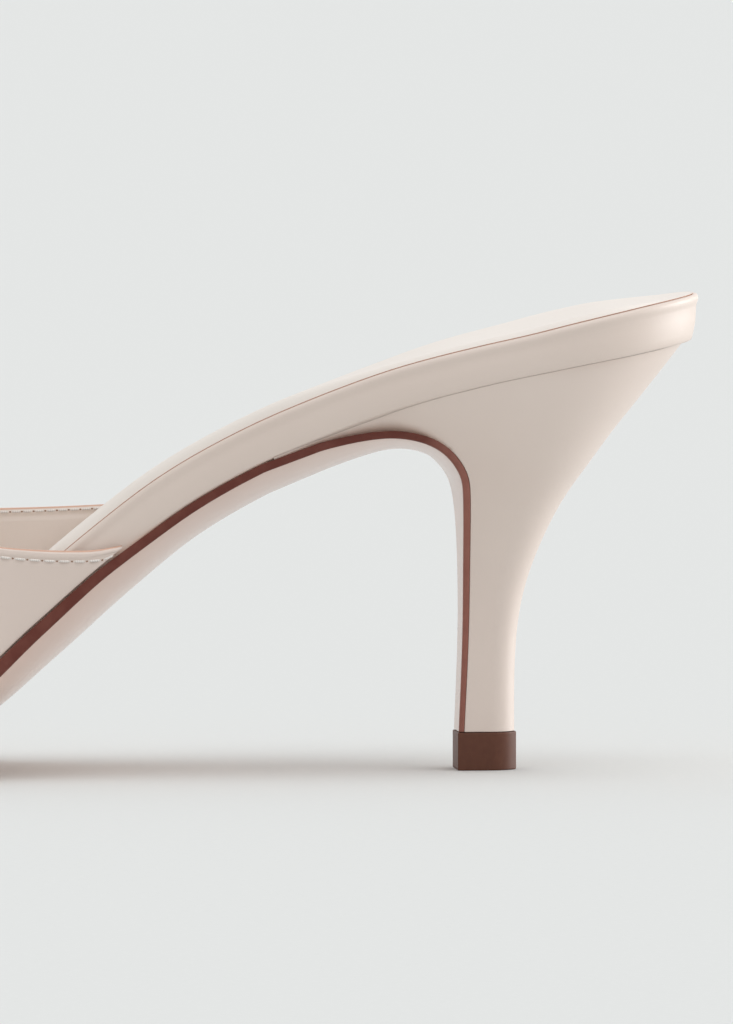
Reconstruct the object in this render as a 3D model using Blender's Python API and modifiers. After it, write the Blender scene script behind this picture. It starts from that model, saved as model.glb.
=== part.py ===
"""Heeled mule sandal, right shoe: an open back, a low band over the ball of the foot and an open toe.

Metres, +Z up. The origin is the centre of the heel tip's floor face, the toe points along -X and the
outer (little toe) side is +Y. The pieces are a leather outsole that runs down the breast of the heel,
a covered insole with its sock on top, the band of the upper, the covered heel and the heel tip.
"""

import math

import bmesh
import bpy
import numpy as np
from mathutils import Vector

# Driving sizes
SHOE_LENGTH = 0.230        # insole, heel to toe, along the floor
HEEL_OVERHANG = 0.033      # back of the insole behind the centre of the heel tip
BALL_WIDTH = 0.0748        # insole across the ball
SEAT_WIDTH = 0.0512        # insole across the heel
HEEL_RISE = 0.0662         # insole's underside, heel above ball
TOE_SPRING = 0.0060        # insole's underside, toe above ball
ARCH_RAISE = 0.0043        # inner edge of the arch above the low line of the sole
HEEL_ROUND = 0.0260        # length over which the outline closes at the heel
TOE_ROUND = 0.0520         # length over which the outline closes at the toe
SEAT_THICK = 0.0070        # insole under the heel of the foot
ARCH_THICK = 0.0062        # insole from the arch forwards
HEEL_LEAN = 0.42           # how far the insole's back leans outwards over its thickness
INSOLE_ROUND = 0.0010      # rolled edges of the covered insole
SOCK_BED = 0.0008          # the insole's top is sunk by this inside its rim
SOCK_THICK = 0.0016        # padded sock
SOCK_BACK = 0.0007         # its padding runs out at the back
SOCK_ARCH = 0.0011         # more padding under the arch
SOCK_EDGE = 0.0006         # thickness left at the sock's rolled edge
TREAD_THICK = 0.0025       # outsole under the ball
TREAD_SINK = 0.00035       # what the floor presses flat under the ball
SOLE_EDGE = 0.0022         # outsole's edge under the ball
SOLE_CROWN = 0.0014        # how much thicker the middle of the outsole is at the arch
SOLE_ROUND = 0.0003
SOLE_FLUSH = 0.0001        # outsole past the insole where no upper is lasted on
WELT_PAST_UPPER = 0.0002   # outsole past the upper
TOE_WELT = 0.0009          # outsole past the insole at the bare toe
UPPER_WALL = 0.0015
UPPER_EASE = 0.0004        # room left beside the insole for the wall's bend
UPPER_SWELL = 0.0024       # how far the band bulges past the sole
RIDGE_HIGH = 0.0485        # top of the band above the seam, at the ball
RIDGE_SIDE = 0.0060        # ridge of the foot, towards the inner side
TIP_LENGTH = 0.00975
TIP_WIDTH = 0.0094
TIP_HEIGHT = 0.0059
TIP_ROUND = 0.0002
HEEL_SHY = 0.0003          # heel inside the heel tip and inside the insole
BREAST_REACH = 0.0275      # front of the heel's lip ahead of the heel tip's centre
BREAST_SHY = 0.0011        # breast of the heel behind the front of the tip
GAP = 0.0003               # between pieces that touch

TREAD_TOP = TREAD_THICK
SEAT_TOP = TREAD_TOP + HEEL_RISE
TIP_TOP = TIP_HEIGHT + GAP

# The insole from heel to toe. along: share of the shoe's length. rise: share of the heel rise. half: share
# of the width there. swing: middle of the outline towards the outer side, share of the ball width. cup_in and
# cup_out: how far the edges stand above the low line, shares of the arch raise. low: where that line
# runs, towards the outer side, share of the ball width.
LAST_COLUMNS = ("along", "rise", "half", "swing", "cup_in", "cup_out", "low")
LAST = (
    (0.00, 1.0000, 0.497, 0.000, 0.28, 0.08, 0.000),
    (0.05, 0.9580, 0.499, 0.000, 0.30, 0.13, 0.000),
    (0.10, 0.9200, 0.500, 0.000, 0.32, 0.16, 0.000),
    (0.15, 0.8790, 0.495, 0.000, 0.39, 0.14, 0.006),
    (0.20, 0.8240, 0.475, 0.001, 0.55, 0.07, 0.020),
    (0.25, 0.7490, 0.433, 0.004, 0.74, 0.04, 0.040),
    (0.30, 0.6660, 0.386, 0.009, 0.84, 0.07, 0.053),
    (0.35, 0.5650, 0.353, 0.015, 0.89, 0.07, 0.064),
    (0.40, 0.4275, 0.337, 0.021, 0.96, 0.07, 0.064),
    (0.45, 0.2764, 0.351, 0.021, 1.00, 0.09, 0.058),
    (0.50, 0.1330, 0.384, 0.017, 0.93, 0.12, 0.046),
    (0.55, 0.0380, 0.423, 0.011, 0.70, 0.12, 0.032),
    (0.60, 0.0045, 0.466, 0.004, 0.42, 0.10, 0.018),
    (0.65, 0.0000, 0.495, 0.001, 0.21, 0.08, 0.000),
    (0.70, 0.0000, 0.500, 0.000, 0.12, 0.08, 0.000),
    (0.75, 0.0000, 0.487, -0.005, 0.10, 0.09, 0.000),
    (0.80, 0.0000, 0.460, -0.016, 0.10, 0.10, 0.000),
    (0.85, 0.0000, 0.426, -0.030, 0.14, 0.14, 0.000),
    (0.90, 0.0000, 0.386, -0.043, 0.18, 0.18, 0.000),
    (0.95, 0.0000, 0.346, -0.054, 0.20, 0.20, 0.000),
    (1.00, 0.0000, 0.310, -0.062, 0.20, 0.20, 0.000),
)
SOCK_BACK_TO = 0.06        # shares of the length between which the sock's padding changes
SOCK_ARCH_IN = (0.195, 0.28)
SOCK_ARCH_OUT = (0.48, 0.62)
CUP_PAST = 1.15            # the bulge is followed this far past the outline, share of the half width
WIDTH_EASE = (0.20, 0.60)  # the outline's widths pass from the heel's to the ball's over this part of the length
SPRING_FROM = 0.80

# The outsole's edge, and its extra thickness in the middle, from the arch forwards, as shares.
EDGE_COLUMNS = ("along", "edge", "crown")
EDGE = (
    (0.00, 0.50, 0.60),
    (0.30, 0.55, 1.00),
    (0.40, 0.66, 1.00),
    (0.46, 0.82, 0.86),
    (0.52, 0.96, 0.60),
    (0.60, 1.00, 0.30),
    (1.00, 1.00, 0.20),
)

# The heel from its tip to its seat. ahead, behind: how far the breast and the back have got from the tip
# to the lip and to the back of the seat. front_up, back_up: how far each has risen from the tip to the
# insole. front_half, side_half: how far the half widths have grown from the tip's to the seat's. cup: how
# far the breast still bulges like the arch. flap: the outsole's thickness on the breast, share of its edge.
HEEL_COLUMNS = ("ahead", "front_up", "front_half", "behind", "back_up", "side_half", "cup", "flap")
HEEL = (
    (0.000, 0.000, 0.000, 0.000, 0.000, 0.000, 0.00, 0.36),
    (-0.012, 0.108, 0.000, -0.001, 0.093, 0.000, 0.00, 0.38),
    (-0.024, 0.222, 0.002, 0.003, 0.197, 0.002, 0.00, 0.40),
    (-0.034, 0.374, 0.010, 0.032, 0.333, 0.018, 0.00, 0.43),
    (-0.034, 0.530, 0.062, 0.137, 0.470, 0.090, 0.00, 0.46),
    (-0.028, 0.654, 0.176, 0.268, 0.589, 0.232, 0.00, 0.48),
    (-0.008, 0.730, 0.290, 0.376, 0.656, 0.376, 0.06, 0.50),
    (0.024, 0.770, 0.370, 0.456, 0.705, 0.492, 0.12, 0.50),
    (0.092, 0.817, 0.470, 0.556, 0.765, 0.626, 0.20, 0.50),
    (0.190, 0.864, 0.575, 0.664, 0.820, 0.750, 0.29, 0.50),
    (0.316, 0.904, 0.670, 0.765, 0.874, 0.855, 0.39, 0.50),
    (0.472, 0.937, 0.740, 0.852, 0.919, 0.922, 0.50, 0.50),
    (0.620, 0.957, 0.785, 0.910, 0.951, 0.960, 0.66, 0.50),
    (0.873, 0.977, 0.810, 0.966, 0.982, 0.990, 0.85, 0.52),
    (1.000, 0.984, 0.815, 0.985, 0.995, 1.000, 0.92, 0.54),
)
HEEL_SOFTEN = 0.045        # each row of the heel is eased into its neighbours over this share of the rows
HEEL_ROUND_FROM = 0.50     # the heel's back is round over the rest of each section's length
HEEL_SEATS_FROM = (0.45, 1.0)  # over these rows the heel takes on the curve of the seat
LIP_JOINS_AT = 0.300       # share of the length where the outsole meets the insole again

# The band over the foot: its ridge above the seam as a share of its height at the ball.
RIDGE_COLUMNS = ("along", "high")
RIDGE = (
    (0.30, 1.42),
    (0.40, 1.36),
    (0.45, 1.32),
    (0.50, 1.26),
    (0.55, 1.185),
    (0.60, 1.092),
    (0.65, 1.00),
    (0.70, 0.907),
    (0.75, 0.825),
    (0.80, 0.752),
    (0.85, 0.680),
    (0.90, 0.625),
    (1.00, 0.540),
)
WALL_IN = 2.45             # fullness of the inner and the outer wall: 2 is an ellipse
WALL_OUT = 2.10

# The topline is cut nearly level. Heights are shares of the heel rise and places shares of the length.
TOPLINE_IN = 0.543         # lowest height on the inner side
TOPLINE_OUT = 0.619
TOPLINE_IN_LOW_AT = 0.430
TOPLINE_OUT_LOW_AT = 0.470
TOPLINE_IN_CURVE = 3.80    # how quickly it rises away from its lowest place
TOPLINE_OUT_CURVE = 1.20
TOPLINE_CORNER_CURVE = 16.0
REAR_SOUGHT = (0.80, 0.20) # it is looked for from the first of these shares of the length to the second
TOE_OPEN_IN = 0.905        # where the front edge meets the sole
TOE_OPEN_OUT = 0.850
TOE_OPEN_BACK = 0.040      # how far its middle lies behind

# Steps of the meshes
PLATE_STEPS = 46
PLATE_ACROSS = 8
FLAP_STEPS = 22
BAND_ACROSS = 38
BAND_ALONG = 15
HEEL_STEPS = 26
HEEL_SIDE_STEPS = 4
HEEL_BACK_STEPS = 6
TRACK_POINTS = 500
HEEL_SPARE = 0.0075        # how far the heel's blank runs past its seat, and a third of it past its breast
HEEL_PAST_SEAT = 0.0010    # how far the blank's last loop stands above its seat
CUTTER_HALF = 0.040
CUTTER_DEEP = 0.030


def ease(value, low, high):
    """0 below low, 1 above high, smooth between."""
    share = np.clip((value - low) / (high - low), 0.0, 1.0)
    return share * share * (3.0 - 2.0 * share)


def mix(first, second, share):
    return first + (second - first) * share


def glide(rows, columns, name, at):
    """A column of a table at the given places of its first column, on a smooth curve that never overshoots."""
    places = np.array([row[0] for row in rows])
    values = np.array([row[columns.index(name)] for row in rows])
    steps = np.diff(places)
    slopes = np.diff(values) / steps
    rising = slopes[:-1] * slopes[1:] > 0
    total = np.where(rising, slopes[:-1] + slopes[1:], 1.0)
    inner = np.where(rising, 2.0 * slopes[:-1] * slopes[1:] / total, 0.0)
    tangents = np.concatenate([slopes[:1], inner, slopes[-1:]])
    at = np.asarray(at, float)
    cell = np.clip(np.searchsorted(places, at) - 1, 0, len(steps) - 1)
    step = steps[cell]
    share = np.clip((at - places[cell]) / step, 0.0, 1.0)
    return (values[cell] * (1 + 2 * share) * (1 - share) ** 2
            + tangents[cell] * step * share * (1 - share) ** 2
            + values[cell + 1] * share ** 2 * (3 - 2 * share)
            + tangents[cell + 1] * step * share ** 2 * (share - 1))


class Track:
    """A line in the shoe's middle plane with the widths and the bulge of the sole along it.

    up points to the foot's side. point() gives the place at a distance along the line, at a
    distance across it, lifted off it."""

    def __init__(self, x, z, values):
        self.x, self.z, self.values = x, z, values
        self.s = np.concatenate([[0.0], np.cumsum(np.hypot(np.diff(x), np.diff(z)))])
        run, climb = np.gradient(x, self.s), np.gradient(z, self.s)
        length = np.hypot(run, climb)
        self.up_x, self.up_z = climb / length, -run / length

    def at(self, name, s):
        return np.interp(s, self.s, self.values[name])

    def cup(self, s, y):
        """How far the sole's surface stands above its low line at y."""
        full, middle = self.at("full", s), self.at("swing", s)
        low = middle + self.at("low", s)
        inner = np.clip((low - y) / (full + low - middle), 0.0, CUP_PAST)
        outer = np.clip((y - low) / (full - low + middle), 0.0, CUP_PAST)
        return self.at("cup_in", s) * inner ** 2 + self.at("cup_out", s) * outer ** 2

    def point(self, s, y, lift):
        rise = lift + self.cup(s, y)
        past = s - np.clip(s, 0.0, self.s[-1])
        up_x, up_z = np.interp(s, self.s, self.up_x), np.interp(s, self.s, self.up_z)
        x = np.interp(s, self.s, self.x) + rise * up_x - past * up_z
        z = np.interp(s, self.s, self.z) + rise * up_z + past * up_x
        return np.stack(np.broadcast_arrays(x, y, z), axis=-1)


def last_values(along):
    """The insole's columns in metres at shares of the length, with the outline closed at heel and toe."""
    def column(name):
        return glide(LAST, LAST_COLUMNS, name, along)

    width = mix(SEAT_WIDTH, BALL_WIDTH, ease(along, *WIDTH_EASE))
    full = column("half") * width
    from_heel = np.clip(1.0 - along * SHOE_LENGTH / HEEL_ROUND, 0.0, 1.0)
    from_toe = np.clip(1.0 - (1.0 - along) * SHOE_LENGTH / TOE_ROUND, 0.0, 1.0)
    edge = SOLE_EDGE * glide(EDGE, EDGE_COLUMNS, "edge", along)
    return {
        "along": along,
        "full": full,
        "half": full * np.sqrt(1.0 - from_heel ** 2) * np.sqrt(1.0 - from_toe ** 2),
        "swing": column("swing") * BALL_WIDTH,
        "low": column("low") * BALL_WIDTH,
        "cup_in": column("cup_in") * ARCH_RAISE,
        "cup_out": column("cup_out") * ARCH_RAISE,
        "thick": mix(SEAT_THICK, ARCH_THICK, ease(along, 0.02, 0.14)),
        "edge": edge,
        "crown": np.maximum(
            SOLE_CROWN * glide(EDGE, EDGE_COLUMNS, "crown", along),
            ease(along, 0.57, 0.63) * (TREAD_THICK + TREAD_SINK - edge)),
    }


def seam_z(along):
    """Height of the insole's underside along its low line."""
    spring = np.clip((along - SPRING_FROM) / (1.0 - SPRING_FROM), 0.0, 2.0)
    return TREAD_TOP + HEEL_RISE * glide(LAST, LAST_COLUMNS, "rise", along) + TOE_SPRING * spring ** 2


def seam_x(along):
    return HEEL_OVERHANG - along * SHOE_LENGTH


def insole_track():
    along = np.linspace(0.0, 1.0, TRACK_POINTS)
    return Track(seam_x(along), seam_z(along), last_values(along))


def heel_rows(steps):
    """The heel's columns in metres at even steps from the tip to the seat."""
    places = np.linspace(0.0, 1.0, len(HEEL))
    rows = [(place, *row) for place, row in zip(places, HEEL)]
    at = np.linspace(0.0, 1.0, steps)
    reach = np.minimum(HEEL_SOFTEN, np.minimum(at, 1.0 - at))
    share = {
        name: sum(weight * glide(rows, ("place", *HEEL_COLUMNS), name, at + way * reach)
                  for way, weight in ((-1, 0.25), (0, 0.5), (1, 0.25)))
        for name in HEEL_COLUMNS
    }
    tip_half = TIP_WIDTH / 2 - HEEL_SHY
    ahead = mix(TIP_LENGTH / 2 - BREAST_SHY, BREAST_REACH, share["ahead"])
    behind = mix(TIP_LENGTH / 2 - HEEL_SHY, HEEL_OVERHANG - HEEL_SHY, share["behind"])
    insole_over = seam_z((HEEL_OVERHANG + ahead) / SHOE_LENGTH)
    return {
        "front_x": -ahead,
        "front_z": mix(TIP_TOP, insole_over, share["front_up"]),
        "front_half": mix(tip_half, SEAT_WIDTH / 2 - HEEL_SHY, share["front_half"]),
        "back_x": behind,
        "back_z": mix(TIP_TOP, SEAT_TOP, share["back_up"]),
        "side_half": mix(tip_half, SEAT_WIDTH / 2 - HEEL_SHY, share["side_half"]),
        "cup": share["cup"],
        "flap": share["flap"] * SOLE_EDGE,
        "seated": ease(at, *HEEL_SEATS_FROM),
    }


def outsole_track():
    """From the heel tip up the breast, under the lip of the heel and along the insole to the toe."""
    breast = heel_rows(TRACK_POINTS // 3)
    along = np.linspace(LIP_JOINS_AT, 1.0, TRACK_POINTS)
    last = last_values(along)
    joined = {name: float(last[name][0]) for name in last}
    zero = np.zeros_like(breast["cup"])
    flap = {
        "along": zero + LIP_JOINS_AT,
        "full": breast["front_half"],
        "half": breast["front_half"],
        "swing": joined["swing"] * breast["cup"] ** 2,
        "low": joined["low"] * breast["cup"] ** 2,
        "cup_in": joined["cup_in"] * breast["cup"],
        "cup_out": joined["cup_out"] * breast["cup"],
        "thick": zero + ARCH_THICK,
        "edge": breast["flap"],
        "crown": SOLE_CROWN * breast["cup"] ** 1.5,
    }
    x = np.concatenate([breast["front_x"], seam_x(along)])
    z = np.concatenate([breast["front_z"], seam_z(along)])
    values = {name: np.concatenate([flap[name], last[name]]) for name in flap}
    return Track(x, z, values)


def mesh_object(name, points, faces, collection):
    """An object from a grid of points and faces, with points that fall together welded and its ends closed."""
    mesh = bpy.data.meshes.new(name)
    mesh.from_pydata([tuple(point) for point in points], [], faces)
    bm = bmesh.new()
    bm.from_mesh(mesh)
    bmesh.ops.remove_doubles(bm, verts=bm.verts, dist=1e-6)
    open_edges = [edge for edge in bm.edges if edge.is_boundary]
    if open_edges:
        bmesh.ops.holes_fill(bm, edges=open_edges)
    bmesh.ops.recalc_face_normals(bm, faces=bm.faces)
    bm.to_mesh(mesh)
    bm.free()
    obj = bpy.data.objects.new(name, mesh)
    collection.objects.link(obj)
    return obj


def loft(name, loops, collection):
    """A tube through closed loops of points, with its two ends closed."""
    count, size = loops.shape[:2]
    faces = [
        (i * size + j, i * size + (j + 1) % size, (i + 1) * size + (j + 1) % size, (i + 1) * size + j)
        for i in range(count - 1)
        for j in range(size)
    ]
    return mesh_object(name, loops.reshape(-1, 3), faces, collection)


def edge_normals(s, y):
    """Outward directions of an outline's side in the plane of the sole, square to its ends where it closes."""
    run, across = np.gradient(s), np.gradient(y)
    length = np.hypot(run, across)
    side = np.sign(y[len(y) // 2])
    along, outward = -side * across / length, side * run / length
    for end, way in ((0, -1.0), (-1, 1.0)):
        if abs(y[end] - y[end + (1 if end == 0 else -1)]) > abs(run[end]):
            along[end], outward[end] = way, 0.0
    return along, outward


def plate(name, track, stops, rings, grow, across, collection, crown_low=None, floor=None, lean=0.0):
    """A sheet that follows a track between its outline's two sides.

    rings are (inset, lift) from the lower edge round to the upper one, each a number or one for each stop.
    grow is how far the inner and the outer side stand out past the track's own outline. lean tips the
    sheet's start outwards as it rises."""
    middle, half = track.at("swing", stops), track.at("half", stops)
    sides = []
    for way, more in zip((-1.0, 1.0), grow):
        y = middle + way * half
        along, outward = edge_normals(stops, y - middle)
        rows = []
        for inset, lift in rings:
            out = more - inset + lean * lift * np.clip(-along, 0.0, 1.0)
            rows.append((stops + along * out, y + outward * out, lift + np.zeros_like(stops)))
        sides.append(rows)
    inner, outer = sides
    lines = []
    shares = np.linspace(0.0, 1.0, across + 1)[1:-1]
    for share in shares[::-1]:
        low = [mix(a, b, share) for a, b in zip(inner[0], outer[0])]
        if crown_low is not None:
            low[2] = low[2] - crown_low * (1.0 - (2.0 * share - 1.0) ** 2)
        lines.append(low)
    lines.extend(inner)
    lines.extend([mix(a, b, share) for a, b in zip(inner[-1], outer[-1])] for share in shares)
    lines.extend(outer[::-1])
    loops = np.stack([track.point(s, y, lift) for s, y, lift in lines], axis=1)
    if floor is not None:
        loops[..., 2] = np.maximum(loops[..., 2], floor)
    return loft(name, loops, collection)


def spread(start, end, steps, gather=0.82):
    """Places from start to end that lie closer together at both ends."""
    even = np.linspace(0.0, 1.0, steps)
    return mix(start, end, even - gather / (2 * math.pi) * np.sin(2 * math.pi * even))


def make_insole(collection):
    """Covered insole with rolled edges and a shallow bed for the sock."""
    track = insole_track()
    stops = spread(0.0, track.s[-1], PLATE_STEPS)
    low = GAP / 2
    top = low + track.at("thick", stops)
    rings = (
        (INSOLE_ROUND * 0.7, low),
        (0.0, low + INSOLE_ROUND * 0.7),
        (0.0, top - INSOLE_ROUND),
        (INSOLE_ROUND * 0.3, top - INSOLE_ROUND * 0.3),
        (INSOLE_ROUND, top),
        (INSOLE_ROUND, top - SOCK_BED),
    )
    return plate("insole", track, stops, rings, (0.0, 0.0), PLATE_ACROSS, collection, lean=HEEL_LEAN)


def sock_padding(along):
    """Thickness of the sock in its middle: it runs out at the back and is fuller under the arch."""
    arch = ease(along, *SOCK_ARCH_IN) * (1.0 - ease(along, *SOCK_ARCH_OUT))
    return mix(SOCK_BACK, SOCK_THICK, ease(along, 0.0, SOCK_BACK_TO)) + SOCK_ARCH * arch


def make_sock(collection):
    """Padded sock that lies in the insole's bed."""
    track = insole_track()
    stops = spread(0.0, track.s[-1], PLATE_STEPS)
    base = GAP / 2 + track.at("thick", stops) - SOCK_BED + GAP
    inset = INSOLE_ROUND + GAP
    rings = (
        (inset, base),
        (inset, base + SOCK_EDGE),
        (inset + SOCK_THICK, base + sock_padding(track.at("along", stops))),
    )
    return plate("sock", track, stops, rings, (0.0, 0.0), PLATE_ACROSS, collection, lean=HEEL_LEAN)


def corner_along(side):
    """Share of the length where the topline comes down to the sole, on the inner (-1) or outer (1) side."""
    along = np.linspace(0.55, 0.25, 400)
    x, _, z = base_line(side, along)
    return float(along[np.argmax(z >= topline_z(x, 0.0 if side < 0 else 1.0))])


def upper_welt(along, side):
    """How far the outsole stands out past the insole: flush behind the upper, under its wall beside it."""
    corner = corner_along(side)
    bare_toe = TOE_OPEN_IN if side < 0 else TOE_OPEN_OUT
    lasted = GAP + UPPER_EASE + UPPER_WALL + WELT_PAST_UPPER
    beside = mix(SOLE_FLUSH, lasted, ease(along, corner - 0.03, corner + 0.03))
    return mix(beside, TOE_WELT, ease(along, bare_toe, bare_toe + 0.04))


def make_outsole(collection):
    track = outsole_track()
    lip = float(np.interp(LIP_JOINS_AT + 0.001, track.at("along", track.s), track.s))
    stops = np.concatenate([
        np.linspace(0.0, lip, FLAP_STEPS + 1)[:-1],
        lip + (track.s[-1] - lip) * np.sin(np.linspace(0.0, math.pi / 2, PLATE_STEPS)),
    ])
    along, edge = track.at("along", stops), track.at("edge", stops)
    grow = [upper_welt(along, side) for side in (-1, 1)]
    rings = ((SOLE_ROUND, -GAP / 2 - edge), (0.0, SOLE_ROUND - GAP / 2 - edge), (0.0, -GAP / 2))
    return plate("outsole", track, stops, rings, grow, PLATE_ACROSS, collection,
                 crown_low=track.at("crown", stops), floor=0.0)


def base_line(side, along):
    """Where the outside of the upper meets the sole, on the inner (-1) or outer (1) side."""
    track = insole_track()
    s = np.interp(along, track.values["along"], track.s)
    y = track.at("swing", s) + side * (track.at("half", s) + GAP + UPPER_EASE + UPPER_WALL)
    return tuple(np.moveaxis(track.point(s, y, GAP / 2), -1, 0))


def topline_z(x, share):
    """Height of the topline at x, from the inner side (share 0) to the outer one (share 1)."""
    along = (HEEL_OVERHANG - x) / SHOE_LENGTH
    past_in, past_out = along - TOPLINE_IN_LOW_AT, along - TOPLINE_OUT_LOW_AT
    inner = TOPLINE_IN + np.where(past_in > 0, TOPLINE_IN_CURVE, TOPLINE_CORNER_CURVE) * past_in ** 2
    outer = TOPLINE_OUT + TOPLINE_OUT_CURVE * past_out ** 2
    return HEEL_RISE * mix(inner, outer, ease(share, 0.0, 1.0))


class Band:
    """The outside of the upper: skin(x, share) is its place at x, from the inner foot (share 0) to the outer."""

    def __init__(self):
        along = np.linspace(0.25, 0.97, TRACK_POINTS)
        self.inner, self.outer = base_line(-1, along), base_line(1, along)

    def foot(self, x):
        """y and z of the inner and the outer base line at x."""
        found = []
        for line in (self.inner, self.outer):
            order = np.argsort(line[0])
            found.extend(np.interp(x, line[0][order], line[i][order]) for i in (1, 2))
        return found

    def skin(self, x, share):
        in_y, in_z, out_y, out_z = self.foot(x)
        along = (HEEL_OVERHANG - x) / SHOE_LENGTH
        high = seam_z(along) + RIDGE_HIGH * glide(RIDGE, RIDGE_COLUMNS, "high", along)
        angle = math.pi * share
        is_in = share <= 0.5
        power = 2.0 / (WALL_IN if is_in else WALL_OUT)
        reach, lift = abs(math.cos(angle)) ** power, math.sin(angle) ** power
        foot_y, foot_z = (in_y, in_z) if is_in else (out_y, out_z)
        ridge_y = 0.5 * (in_y + out_y) - RIDGE_SIDE
        swell = -UPPER_SWELL * math.sin(2 * angle)
        return np.array([x, mix(ridge_y, foot_y, reach) + swell, mix(foot_z, high, lift)])

    def rear(self, share):
        """x where the band is cut by the topline, looked for from the toe backwards."""
        front = seam_x(REAR_SOUGHT[0])
        for back in seam_x(np.linspace(*REAR_SOUGHT, 61)):
            if self.skin(back, share)[2] >= topline_z(back, share):
                break
            front = back
        for _ in range(30):
            x = 0.5 * (front + back)
            if self.skin(x, share)[2] > topline_z(x, share):
                back = x
            else:
                front = x
        return x

    def front(self, share):
        along = mix(TOE_OPEN_IN, TOE_OPEN_OUT, share) - TOE_OPEN_BACK * math.sin(math.pi * share)
        return seam_x(along)


def make_upper(collection):
    """The open surface of the band from topline to toe opening, given its wall inwards."""
    band = Band()
    points = []
    for across in np.linspace(0.0, 1.0, BAND_ACROSS + 1):
        rear, front = band.rear(across), band.front(across)
        points.extend(band.skin(x, across) for x in np.linspace(rear, front, BAND_ALONG + 1))
    size = BAND_ALONG + 1
    faces = [
        (i * size + j, (i + 1) * size + j, (i + 1) * size + j + 1, i * size + j + 1)
        for i in range(BAND_ACROSS)
        for j in range(BAND_ALONG)
    ]
    mesh = bpy.data.meshes.new("upper")
    mesh.from_pydata([tuple(point) for point in points], [], faces)
    mesh.update()
    obj = bpy.data.objects.new("upper", mesh)
    collection.objects.link(obj)
    wall = obj.modifiers.new("wall", "SOLIDIFY")
    wall.thickness = UPPER_WALL
    wall.offset = -1.0
    wall.use_even_offset = True
    return obj


def heel_section(front_x, front_z, back_x, back_z, front_half, side_half, past=(0.0, 0.0)):
    """A loop round the heel: flat at the breast, widening to its middle and round at the back.

    past moves the breast in x and z, between its corners."""
    flat = np.linspace(0.0, HEEL_ROUND_FROM, HEEL_SIDE_STEPS + 1)
    turn = np.linspace(0.0, math.pi / 2, HEEL_BACK_STEPS + 1)[1:]
    share = np.concatenate([flat, HEEL_ROUND_FROM + (1.0 - HEEL_ROUND_FROM) * np.sin(turn)])
    half = np.concatenate([
        mix(front_half, side_half, np.sin(flat / HEEL_ROUND_FROM * math.pi / 2)),
        side_half * np.cos(turn),
    ])
    outer = np.stack([mix(front_x, back_x, share), half, mix(front_z, back_z, share)], axis=1)
    inner = outer[-2::-1] * (1.0, -1.0, 1.0)
    across = np.linspace(-1.0, 1.0, HEEL_SIDE_STEPS + 1)[1:-1]
    breast = np.stack([front_x + past[0] + 0 * across, across * front_half, front_z + past[1] + 0 * across], axis=1)
    return np.concatenate([outer, inner, breast])


def seat_rise(points, front, back):
    """How far the insole's underside stands above the straight line from the lip to the back of the seat."""
    track = insole_track()
    along = (HEEL_OVERHANG - points[:, 0]) / SHOE_LENGTH
    s = np.interp(along, track.values["along"], track.s)
    line = np.interp(points[:, 0], [front[0], back[0]], [front[1], back[1]])
    return seam_z(along) + track.cup(s, points[:, 1]) - line


def swept_block(name, grid, reach, collection):
    """A closed block from a grid of points and the same grid moved by reach."""
    rows, columns = grid.shape[:2]
    points = np.concatenate([grid.reshape(-1, 3), (grid + reach).reshape(-1, 3)])
    shift = rows * columns
    faces = []
    for i in range(rows - 1):
        for j in range(columns - 1):
            corner = i * columns + j
            cell = (corner, corner + 1, corner + columns + 1, corner + columns)
            faces.append(cell)
            faces.append(tuple(shift + k for k in reversed(cell)))
    rim = (
        [i * columns for i in range(rows - 1)]
        + [(rows - 1) * columns + j for j in range(columns - 1)]
        + [i * columns + columns - 1 for i in range(rows - 1, 0, -1)]
        + [j for j in range(columns - 1, 0, -1)]
    )
    faces.extend(
        (a, b, shift + b, shift + a) for a, b in zip(rim, rim[1:] + rim[:1]))
    return mesh_object(name, points, faces, collection)


def heel_blank(steps, track):
    """Loops round a blank of the heel that runs past its seat, past its breast and on along its lip."""
    rows = heel_rows(steps)
    past = HEEL_SPARE / 3
    sizes = list(zip(*(rows[name] for name in ("front_x", "front_z", "back_x", "back_z",
                                               "front_half", "side_half", "seated"))))
    seat = sizes[-1]
    sizes.append((seam_x(LIP_JOINS_AT), float(seam_z(LIP_JOINS_AT)), *seat[2:]))
    loops = []
    for size in sizes:
        near = np.argmin(np.hypot(track.x - size[0], track.z - size[1]))
        out_x, out_z = track.up_x[near], track.up_z[near] if loops else 0.0
        loop = heel_section(*size[:6], past=(-past * out_x, -past * out_z))
        lip = size if size is sizes[-1] else seat
        loop[:, 2] += size[6] * (seat_rise(loop, lip[:2], lip[2:4]) + HEEL_PAST_SEAT)
        loops.append(loop)
    loops.append(loops[-1] + (0.0, 0.0, HEEL_SPARE))
    return np.array(loops)


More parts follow.
